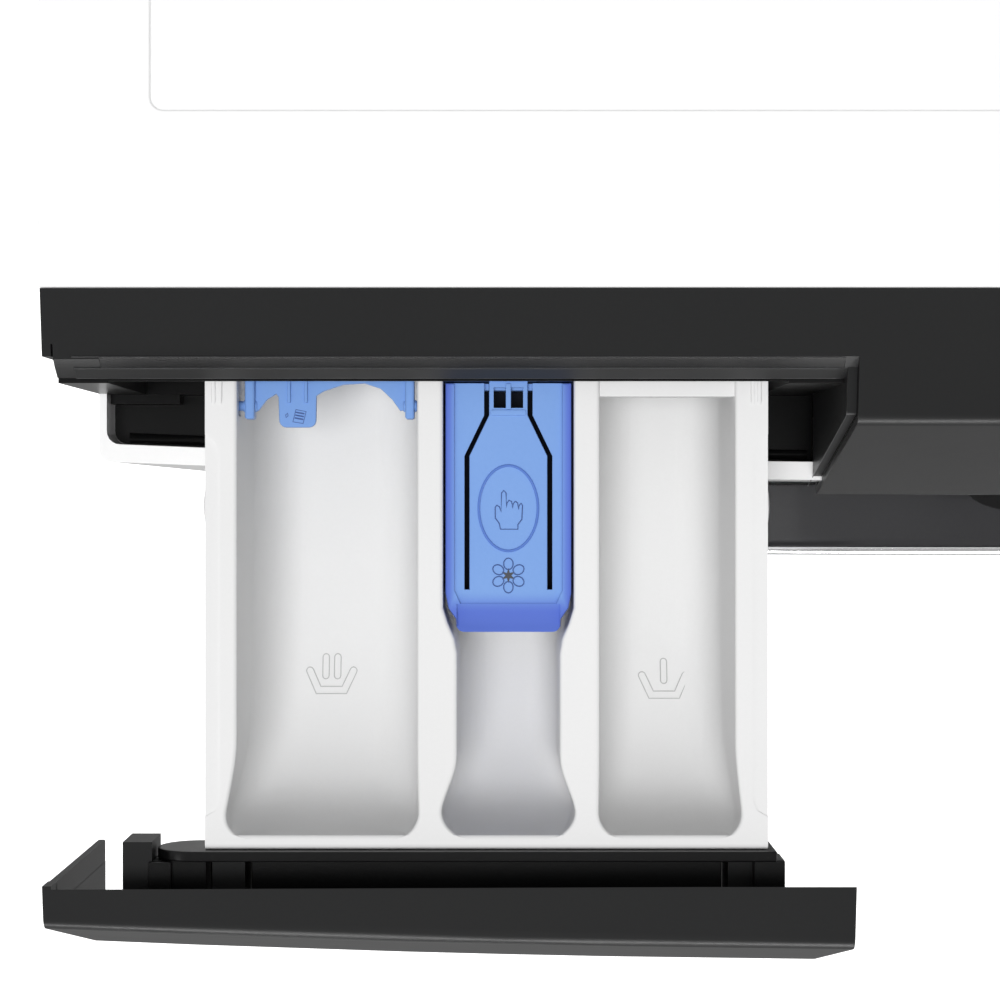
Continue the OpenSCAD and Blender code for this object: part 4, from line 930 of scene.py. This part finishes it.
def make_tray():
    """White detergent tray with three scooped compartments."""
    body = slab(tray_outline(), "YZ", TRAY_L, TRAY_R)
    front_top = [
        e
        for e in body.edges
        if all(abs(v.co.y - TRAY_FRONT) < 0.01 and abs(v.co.z - RIM_Z) < 0.01 for v in e.verts)
    ]
    soften(body, 4.0, 7, front_top)
    long_edges = [
        e
        for e in body.edges
        if len(e.link_faces) == 2
        and e.calc_face_angle(0) > 1.2
        and abs(e.verts[0].co.x - e.verts[1].co.x) < 0.01
    ]
    soften(body, 0.7, 2, long_edges)
    cuts = [
        scoop(side_left_main, side_right_main, 15.0, 8.5),
        scoop(
            lambda y: CELL_MID[0] + middle_squeeze(y),
            lambda y: CELL_MID[1] - middle_squeeze(y),
            9.0,
            9.5,
        ),
        scoop(
            lambda y: CELL_RIGHT[0] - 0.4 * ease((30 - (y - TRAY_FRONT)) / 30),
            lambda y: CELL_RIGHT[1] + 2.6 * ease((34 - (y - TRAY_FRONT)) / 34),
            13.0,
            8.5,
        ),
        side_recess(TRAY_L, 1),
        side_recess(TRAY_R, -1),
        box((CELL_LEFT[0] - 1.2, 119.6, RIM_Z - 11.5), (CELL_LEFT[0] + 1, 125.8, RIM_Z - 5.5)),
        box((CELL_LEFT[1] - 1, 119.6, RIM_Z - 11.5), (CELL_LEFT[1] + 1.2, 125.8, RIM_Z - 5.5)),
    ]
    bm = carve(body, cuts)
    extras = [bm]
    bar = box((CELL_RIGHT[0] - 1.4, 125.2, RIM_Z - 7.5), (CELL_RIGHT[1] + 1.4, 133.5, RIM_Z - 1.6))
    soften(bar, 0.7, 2)
    extras.append(bar)
    for x, lean_in in ((TRAY_L + 3.6, 1), (TRAY_R - 3.6, -1)):
        for step in (-1.3, 1.3):
            rib = box((x + step - 0.65, 117.0, RIM_Z - 2), (x + step + 0.65, 150.0, RIM_Z + 1.1))
            tip = [v for v in rib.verts if v.co.y < 118 and v.co.z > RIM_Z]
            bmesh.ops.translate(rib, vec=(-step * 0.3, 7.0, -0.6), verts=tip)
            soften(rib, 0.45, 2)
            extras.append(rib)
        bump = bmesh.new()
        bmesh.ops.create_uvsphere(bump, u_segments=24, v_segments=12, radius=1.0)
        bmesh.ops.scale(bump, vec=(1.3, 7.0, 5.0), verts=bump.verts)
        edge = TRAY_L if lean_in > 0 else TRAY_R
        bmesh.ops.translate(bump, vec=(edge + lean_in * 0.3, 92.0, RIM_Z - 6.5), verts=bump.verts)
        extras.append(bump)
    return show(
        "detergent_tray",
        settle(join(*extras), DRAWER_OUT),
        "tray",
        "drawer",
        ["drawer_tray"],
        38.0,
    )


def stroke(points, half, n=6):
    """Closed outline round an open polyline, half wide each side, with round ends."""
    left, right = [], []
    count = len(points)
    for i, p in enumerate(points):
        before = points[max(i - 1, 0)]
        after = points[min(i + 1, count - 1)]
        if 0 < i < count - 1:
            a = math.atan2(p[1] - before[1], p[0] - before[0])
            b = math.atan2(after[1] - p[1], after[0] - p[0])
            turn = math.atan2(math.sin(b - a), math.cos(b - a))
            mid = a + turn / 2
            reach = half / max(0.35, math.cos(turn / 2))
        else:
            mid = math.atan2(after[1] - before[1], after[0] - before[0])
            reach = half
        left.append((p[0] - reach * math.sin(mid), p[1] + reach * math.cos(mid)))
        right.append((p[0] + reach * math.sin(mid), p[1] - reach * math.cos(mid)))
    end = math.degrees(math.atan2(points[-1][1] - points[-2][1], points[-1][0] - points[-2][0]))
    start = math.degrees(math.atan2(points[0][1] - points[1][1], points[0][0] - points[1][0]))
    return (
        left
        + arc(points[-1][0], points[-1][1], half, end + 90, end - 90, n)[1:-1]
        + list(reversed(right))
        + arc(points[0][0], points[0][1], half, start + 90, start - 90, n)[1:-1]
    )


def tub_sign(x, y, bars):
    """Outline of a wash tub with one or two bars over it, lying on a compartment's bottom."""
    flat = [stroke([(-7.1, 2.2), (-4.2, -4.0), (4.2, -4.0), (7.1, 2.2)], 1.15)]
    for b in bars:
        flat.append(stroke([(b, 0.6), (b, 6.6)], 1.05))
    return [[(x + u, y + v, floor_at(y + v) + 0.05) for u, v in line] for line in flat]


def fine(outline, step=0.6):
    """Adds points so that a raised line follows a curved surface."""
    out = []
    for p, q in zip(outline, outline[1:] + outline[:1]):
        gap = math.dist(p, q)
        n = max(1, int(gap / step))
        out += [tuple(a + (b - a) * k / n for a, b in zip(p, q)) for k in range(n)]
    return out


def settle_on_floor(lines):
    return [[(x, y, floor_at(y) + 0.04) for x, y, _ in fine(line)] for line in lines]


make_tray()
# raised tub signs in the darker tray_line material, which paints their shaded sides
cord_line(
    "tray_signs",
    settle_on_floor(tub_sign(-217.9, 36.0, (-1.9, 1.9)) + tub_sign(-109.6, 34.5, (0.0,))),
    0.17,
    "tray_line",
    "drawer",
    DRAWER_OUT,
)

# ---------------------------------------------------------------- lift-out lid


def lid_outline(grow=0.0):
    """Plan of the lid: tapered, rounded front and straight sides."""
    x0, x1 = LID_L - grow, LID_R + grow
    pts = [(x1, LID_BACK), (x0, LID_BACK), (x0, LID_FRONT + 12.0)]
    pts += [(x0 + 0.9, LID_FRONT + 7.5), (x0 + 3.2, LID_FRONT + 4.2)]
    pts += arc(x0 + 5.6, LID_FRONT + 2.3, 2.3 + grow, 180, 270, 5)
    pts += arc(x1 - 5.6, LID_FRONT + 2.3, 2.3 + grow, 270, 360, 5)
    pts += [(x1 - 3.2, LID_FRONT + 4.2), (x1 - 0.9, LID_FRONT + 7.5), (x1, LID_FRONT + 12.0)]
    return pts


def neck_plan(grow):
    """Plan of the finger tab: wide where it springs from the lid, narrow at its free end."""
    wide, slim = 11.9 + grow, 5.9 + grow
    return [
        (LID_MID - wide, TAB_ROOT),
        (LID_MID + wide, TAB_ROOT),
        (LID_MID + wide, 107.3),
        (LID_MID + slim, 119.7),
        (LID_MID + slim, LID_BACK + 1),
        (LID_MID - slim, LID_BACK + 1),
        (LID_MID - slim, 119.7),
        (LID_MID - wide, 107.3),
    ]


def make_lid():
    """Blue lid: raised side rails, sunk middle, dipped front."""
    body = slab(lid_outline(), "XY", LID_TOP - 14, LID_TOP)
    upright = [e for e in body.edges if min(v.co.z for v in e.verts) > LID_TOP - 0.01]
    soften(body, 0.8, 3, upright)
    well = slab(
        [
            (LID_R - 2.6, LID_BACK + 2),
            (LID_L + 2.6, LID_BACK + 2),
            (LID_L + 2.6, LID_FRONT + 13.0),
            (LID_L + 4.6, LID_FRONT + 8.6),
            (LID_R - 4.6, LID_FRONT + 8.6),
            (LID_R - 2.6, LID_FRONT + 13.0),
        ],
        "XY",
        LID_TOP - 1.3,
        LID_TOP + 2,
    )
    low_rim = [e for e in well.edges if max(v.co.z for v in e.verts) < LID_TOP - 1.2]
    soften(well, 0.9, 3, low_rim)
    dip = slab(
        [
            (LID_FRONT - 2, LID_TOP + 2),
            (LID_FRONT - 2, LID_TOP - 7.0),
            (LID_FRONT + 0.6, LID_TOP - 5.4),
            (LID_FRONT + 4.0, LID_TOP - 3.0),
            (LID_FRONT + 7.2, LID_TOP - 1.9),
            (LID_FRONT + 8.8, LID_TOP - 1.3),
            (LID_FRONT + 8.8, LID_TOP + 2),
        ],
        "YZ",
        LID_L + 3.4,
        LID_R - 3.4,
    )
    slots = [
        carve(slab(neck_plan(1.5), "XY", LID_TOP - 4.6, LID_TOP + 3), [])
    ]
    hollow = slab(
        [
            (LID_L + 5.0, LID_FRONT + 6.0),
            (LID_R - 5.0, LID_FRONT + 6.0),
            (LID_R - 2.2, LID_FRONT + 13.0),
            (LID_R - 2.2, LID_BACK - 2.0),
            (LID_L + 2.2, LID_BACK - 2.0),
            (LID_L + 2.2, LID_FRONT + 13.0),
        ],
        "XY",
        LID_TOP - 15,
        LID_TOP - 3.6,
    )
    bm = carve(body, [well, dip, hollow] + slots)
    skirt = slab(lid_outline(-0.1), "XY", LID_TOP - 33, LID_TOP - 13.9)
    skirt = carve(skirt, [slab(lid_outline(-2.2), "XY", LID_TOP - 34, LID_TOP - 10)])
    return show(
        "softener_lid",
        settle(join(bm, skirt), DRAWER_OUT),
        "lid_blue",
        "insert",
        ["softener_insert"],
        35.0,
    )


def make_tab():
    """Bottle-shaped finger tab with a raised oval and two windows at its free end."""
    top = LID_TOP - 1.3
    body = slab(neck_plan(0.0), "XY", top - 2.3, top)
    upper = [
        e
        for e in body.edges
        if min(v.co.z for v in e.verts) > top - 0.01 and max(v.co.y for v in e.verts) > TAB_ROOT + 1
    ]
    soften(body, 0.45, 2, upper)
    cuts = []
    for x0 in (LID_MID - 4.5, LID_MID + 0.8):
        cuts.append(box((x0, 121.9, top - 4), (x0 + 3.7, LID_BACK - 1.2, top + 2)))
    bm = carve(body, cuts)
    sill = box((LID_MID - 5.4, 119.6, top - 1), (LID_MID + 5.4, 121.4, top + 0.45))
    soften(sill, 0.4, 2)
    post = box((LID_MID - 0.8, 121.4, top - 2), (LID_MID + 0.8, LID_BACK, top + 0.8))
    soften(post, 0.3, 2)
    return show(
        "finger_tab",
        settle(join(bm, sill, post), DRAWER_OUT),
        "blue",
        "tab",
        ["release_tab"],
        35.0,
    )


def on_tab(outline, dx, dy, scale=1.0, lift=0.03):
    z = LID_TOP - 1.3 + lift
    return [(LID_MID + dx + scale * u, dy + scale * v, z) for u, v in outline]


HAND = [  # a pointing hand, drawn about its palm
    (-2.6, -4.6), (2.7, -4.6), (2.7, -3.2), (3.9, -1.6), (4.1, 2.6), (3.7, 3.3), (3.1, 2.7),
    (2.9, 1.4), (2.6, 3.4), (1.9, 3.9), (1.3, 3.2), (1.1, 1.8), (0.8, 3.8), (0.0, 4.2),
    (-0.6, 3.4), (-0.8, 2.0), (-0.9, 6.4), (-1.6, 7.2), (-2.3, 6.4), (-2.4, 0.6), (-2.9, 2.2),
    (-3.7, 2.7), (-4.2, 2.1), (-4.2, -1.2), (-3.0, -2.8),
]


def flower():
    """Six open petals round a small centre."""
    out = []
    for k in range(6):
        a = math.radians(60 * k + 30)
        ring = []
        for i in range(14):
            t = 2 * math.pi * i / 14
            u, v = 3.55 + 1.75 * math.cos(t), 1.45 * math.sin(t)
            ring.append((u * math.cos(a) - v * math.sin(a), u * math.sin(a) + v * math.cos(a)))
        out.append(ring)
    return out


make_lid()
make_tab()
# raised oval ring in a darker blue: painted shade on its ridge
oval = [(9.0 * math.cos(t), 13.0 * math.sin(t)) for t in [2 * math.pi * k / 56 for k in range(56)]]
cord_line("tab_oval", [on_tab(oval, 0, 91.4)], 0.42, "blue_line", "tab", DRAWER_OUT)
# hand and flower lines in the darker blue: painted shade on the raised moulded lines
cord_line(
    "tab_signs",
    [on_tab(HAND, 0.2, 89.6)] + [on_tab(petal, 0, 70.9) for petal in flower()],
    0.19,
    "blue_dark",
    "tab",
    DRAWER_OUT,
)
star = []
for k in range(12):
    a, r = math.radians(30 * k + 30), (2.3 if k % 2 == 0 else 0.9)
    star.append((LID_MID + r * math.cos(a), 70.9 + r * math.sin(a)))
show(
    "flower_centre",
    settle(slab(star, "XY", LID_TOP - 1.5, LID_TOP - 1.14), DRAWER_OUT),
    "centre",
    "tab",
)

# near-black sheet inside the lid's hollow: a painted shadow, not a real part
shadow_sheet = box((LID_MID - 15.5, LID_FRONT + 9, LID_TOP - 12.6), (LID_MID + 15.5, LID_BACK - 2.2, LID_TOP - 11.6))
show("lid_shadow_sheet", settle(soften(shadow_sheet, 0.3, 2), DRAWER_OUT), "lid_shadow", "insert")

# ---------------------------------------------------------------- detergent gate


def make_gate():
    """Blue gate with an arched lower edge, a thumb tab and two end lugs."""
    plan = [(-239.4, 166.7), (-239.4, 121.5), (-237.0, 121.2), (-234.4, 124.6), (-231.6, 126.4)]
    plan += [(-230.9, 125.4), (-230.7, 118.6)] + arc(-228.4, 118.4, 2.3, 180, 270, 5)
    plan += arc(-221.6, 118.4, 2.3, 270, 360, 5) + [(-219.2, 125.8), (-217.0, 127.2)]
    plan += [(-211.0, 129.2), (-204.5, 129.6), (-199.6, 128.0), (-196.0, 124.6), (-193.6, 121.2)]
    plan += [(-191.4, 121.5), (-191.4, 166.7)]
    plate = slab(plan, "XY", FLAP_Z - 1.1, FLAP_Z + 1.1)
    upper = [e for e in plate.edges if len(set(round(v.co.z, 2) for v in e.verts)) == 1]
    soften(plate, 0.5, 2, upper)
    parts = [plate]
    for x0, x1 in ((-241.0, -238.0), (-192.0, -189.2)):
        lug = box((x0, 118.6, FLAP_Z - 3.4), (x1, 131.0, FLAP_Z + 3.6))
        soften(lug, 0.8, 3)
        parts.append(lug)
        parts.append(soften(disc((FLAP_Y, FLAP_Z), 1.9, x0 - 0.6, x1 + 0.6, "X", 24), 0.3, 2))
    parts.append(disc((FLAP_Y, FLAP_Z), 1.5, FLAP_L - 2.2, FLAP_L + 3.0, "X", 24))
    parts.append(disc((FLAP_Y, FLAP_Z), 1.5, FLAP_R - 3.0, FLAP_R + 2.2, "X", 24))
    for x in (-227.6, -222.4):
        rib = box((x - 0.5, 123.6, FLAP_Z), (x + 0.5, 133.0, FLAP_Z + 2.2))
        soften(rib, 0.35, 2)
        parts.append(rib)
    return show(
        "detergent_gate",
        settle(join(*parts), DRAWER_OUT),
        "blue",
        "flap",
        ["detergent_flap"],
        35.0,
    )


make_gate()
carton = [(-2.2, -2.3), (1.5, -2.9), (2.6, 1.4), (-1.1, 2.1)]
drop = [(-4.6, -0.8), (-3.9, -0.1), (-4.1, 0.8), (-4.8, 0.2)]
gate_lines = [carton, drop]
for k in (0.2, 0.5, 0.8):
    gate_lines.append(
        stroke([(-1.5 + k * 0.6, -1.6 + 3.4 * k), (1.3 + k * 0.6, -2.1 + 3.4 * k)], 0.12, 2)
    )
# gate sign lines in the darker blue: painted shade on the raised moulded lines
cord_line(
    "gate_signs",
    [[(-224.6 + 0.85 * u, 119.8 + 0.85 * v, FLAP_Z + 1.12) for u, v in line] for line in gate_lines],
    0.14,
    "blue_dark",
    "flap",
    DRAWER_OUT,
)

# ---------------------------------------------------------------- fascia edges


def front_profile(inset, steps=8):
    """Points (Y, Z) down the leaning front's outer skin, set in by inset."""
    pts = []
    turn = 90 - math.degrees(TOP_FALL) - math.degrees(LEAN)
    for i in range(steps + 1):
        a = math.radians(90 - math.degrees(TOP_FALL) - turn * i / steps)
        pts.append((-(BEND_Y + (BEND_R - inset) * math.cos(a)), BEND_Z + (BEND_R - inset) * math.sin(a)))
    for i in range(steps + 1):
        a = math.radians(math.degrees(LEAN) - (60 + math.degrees(LEAN)) * i / steps)
        r = max(LOW_R - inset, 0.2)
        pts.append((-(LOW_Y + r * math.cos(a)), LOW_Z + r * math.sin(a)))
    return pts


def lip_strip(name, top, low, material, x0, x1):
    """Thin facing on one flat of the lip above the drawer, 0.25 proud of it."""
    (y0, z0), (y1, z1) = top, low
    length = math.hypot(y1 - y0, z1 - z0)
    ny, nz = (z1 - z0) / length, -(y1 - y0) / length
    if nz < 0:
        ny, nz = -ny, -nz
    p = [
        (y0 - 0.4 * ny, z0 - 0.4 * nz),
        (y1 - 0.4 * ny, z1 - 0.4 * nz),
        (y1 + 0.25 * ny, z1 + 0.25 * nz),
        (y0 + 0.25 * ny, z0 + 0.25 * nz),
    ]
    bm = slab(p, "YZ", x0, x1)
    soften(bm, 0.16, 2)
    return show(name, settle(bm), material, "cabinet")


LIP_A, LIP_B, LIP_C = (-20.2, TALL - 6.0), (-23.2, TALL - 9.6), (-26.0, TALL - 14.0)
# upper lip strip in the darker material: painted shade on the steep flat; the lower strip keeps the fascia's
# own colour
lip_strip("lip_upper_strip", LIP_A, (LIP_B[0] + 0.15, LIP_B[1] + 0.2), "gloss", NOTCH_L + 14, NOTCH_R - 1)
lip_strip("lip_lower_strip", (LIP_B[0] - 0.15, LIP_B[1] - 0.2), LIP_C, "fascia", NOTCH_L + 6, NOTCH_R - 1)
# thin lighter lines along the lip's bends: painted highlights
cord_line(
    "lip_edge_highlights",
    [
        [(NOTCH_L + 6, y, z), (NOTCH_R - 1.2, y, z)]
        for y, z in ((-20.2, TALL - 5.75), (-23.3, TALL - 9.5), (-26.1, TALL - 13.9))
    ],
    0.13,
    "sheen",
    "cabinet",
    0.0,
    False,
)
# lighter line down the rebate's inner edge: a painted highlight
rebate = [(NOTCH_R + 0.05, y + bow(NOTCH_R), z) for y, z in front_profile(3.1)[:10]]
cord_line("rebate_edge_highlight", [rebate], 0.14, "sheen", "cabinet", 0.0, False)

# ---------------------------------------------------------------- door edges


def skin(bm, rows):
    """Closes a run of four-cornered sections into one solid."""
    for one, two in zip(rows, rows[1:]):
        for k in range(4):
            bm.faces.new((one[k], one[(k + 1) % 4], two[(k + 1) % 4], two[k]))
    bm.faces.new(rows[0])
    bm.faces.new(list(reversed(rows[-1])))
    bmesh.ops.recalc_face_normals(bm, faces=bm.faces)
    return bm


def ring_part(r0, r1, y0, y1, segments, start, end):
    """Part of a flat ring about the drum's axis, between two angles in degrees from the top."""
    bm = bmesh.new()
    rows = []
    for i in range(segments + 1):
        a = math.radians(start + (end - start) * i / segments)
        c, q = math.sin(a), math.cos(a)
        corners = ((r0, y0), (r1, y0), (r1, y1), (r0, y1))
        rows.append([bm.verts.new((r * c, y, AXIS_Z + r * q)) for r, y in corners])
    return skin(bm, rows)


back_lip = ring_part(226.0, 238.6, -57.3, -56.45, 144, -58, 58)
show("door_back_lip", settle(back_lip), "black", "door")


PAD_X, PAD_HALF, PAD_REACH, PAD_BACK = 26.0, 22.0, 9.6, -57.25
PAD_RIM = 240.0  # radius of the door's edge
PAD_OVER, PAD_UNDER = 0.22, 0.6


def door_pad():
    """Soft finger pad let into the door's top edge."""
    bm = bmesh.new()
    rows = []
    for i in range(25):
        t = math.pi * i / 24
        x = PAD_X - PAD_HALF * math.cos(t)
        near = PAD_BACK - PAD_REACH * math.sin(t) - 0.01
        z = AXIS_Z + math.sqrt(PAD_RIM * PAD_RIM - x * x)
        corners = (
            (PAD_BACK, z + PAD_OVER),
            (near, z + PAD_OVER),
            (near, z - PAD_UNDER),
            (PAD_BACK, z - PAD_UNDER),
        )
        rows.append([bm.verts.new((x, y, h)) for y, h in corners])
    return skin(bm, rows)


show("door_pad", settle(door_pad()), "black", "door")

# ---------------------------------------------------------------- stage


def make_floor():
    bm = bmesh.new()
    bmesh.ops.create_grid(bm, x_segments=1, y_segments=1, size=6.0)
    mesh = bpy.data.meshes.new("floor")
    bm.to_mesh(mesh)
    bm.free()
    mat = bpy.data.materials.new("pale_floor")
    mat.use_nodes = True
    shader = mat.node_tree.nodes["Principled BSDF"]
    shader.inputs["Base Color"].default_value = (0.9, 0.9, 0.9, 1)
    shader.inputs["Roughness"].default_value = 0.9
    shader.inputs["Emission Color"].default_value = (1, 1, 1, 1)
    shader.inputs["Emission Strength"].default_value = 0.5
    mesh.materials.append(mat)
    obj = bpy.data.objects.new("floor", mesh)
    bpy.context.scene.collection.objects.link(obj)
    obj.visible_glossy = False


def area_light(name, place, aim, size, power):
    data = bpy.data.lights.new(name, "AREA")
    data.shape = "RECTANGLE"
    data.size, data.size_y = size
    data.energy = power
    obj = bpy.data.objects.new(name, data)
    bpy.context.scene.collection.objects.link(obj)
    obj.location = place
    direction = Vector(aim) - Vector(place)
    obj.rotation_euler = direction.to_track_quat("-Z", "Y").to_euler()
    return obj


make_floor()

world = bpy.data.worlds.new("soft_room")
bpy.context.scene.world = world
world.use_nodes = True
world.node_tree.nodes["Background"].inputs["Color"].default_value = (1, 1, 1, 1)
world.node_tree.nodes["Background"].inputs["Strength"].default_value = 0.34

ceiling = bpy.data.lights.new("ceiling", "SUN")
ceiling.energy = 2.45
ceiling.angle = math.radians(24)
ceiling_obj = bpy.data.objects.new("ceiling", ceiling)
bpy.context.scene.collection.objects.link(ceiling_obj)
ceiling_obj.rotation_euler = (math.radians(9), math.radians(-4), 0)
ceiling_obj.visible_glossy = False

area_light("left_strip", (-2.6, -1.2, 1.6), (-0.2, -0.2, 0.7), (0.5, 2.2), 9)
for name, place, size, power in (
    ("front_strip", (0.2, -3.2, 1.05), (3.0, 0.55), 70),
    ("right_strip", (2.8, -1.0, 1.2), (1.8, 0.5), 25),
):
    area_light(name, place, (0, -0.2, 0.82), size, power).visible_diffuse = False

camera_data = bpy.data.cameras.new("camera")
camera_data.lens = 85.0
camera_data.sensor_width = 36.0
camera = bpy.data.objects.new("camera", camera_data)
bpy.context.scene.collection.objects.link(camera)
camera.location = (-0.163, (ROW_Y - 62.6) * MM, 1.544)
camera.rotation_euler = (0, 0, 0)
bpy.context.scene.camera = camera

view = bpy.context.scene.view_settings
view.view_transform = "Standard"
view.look = "None"
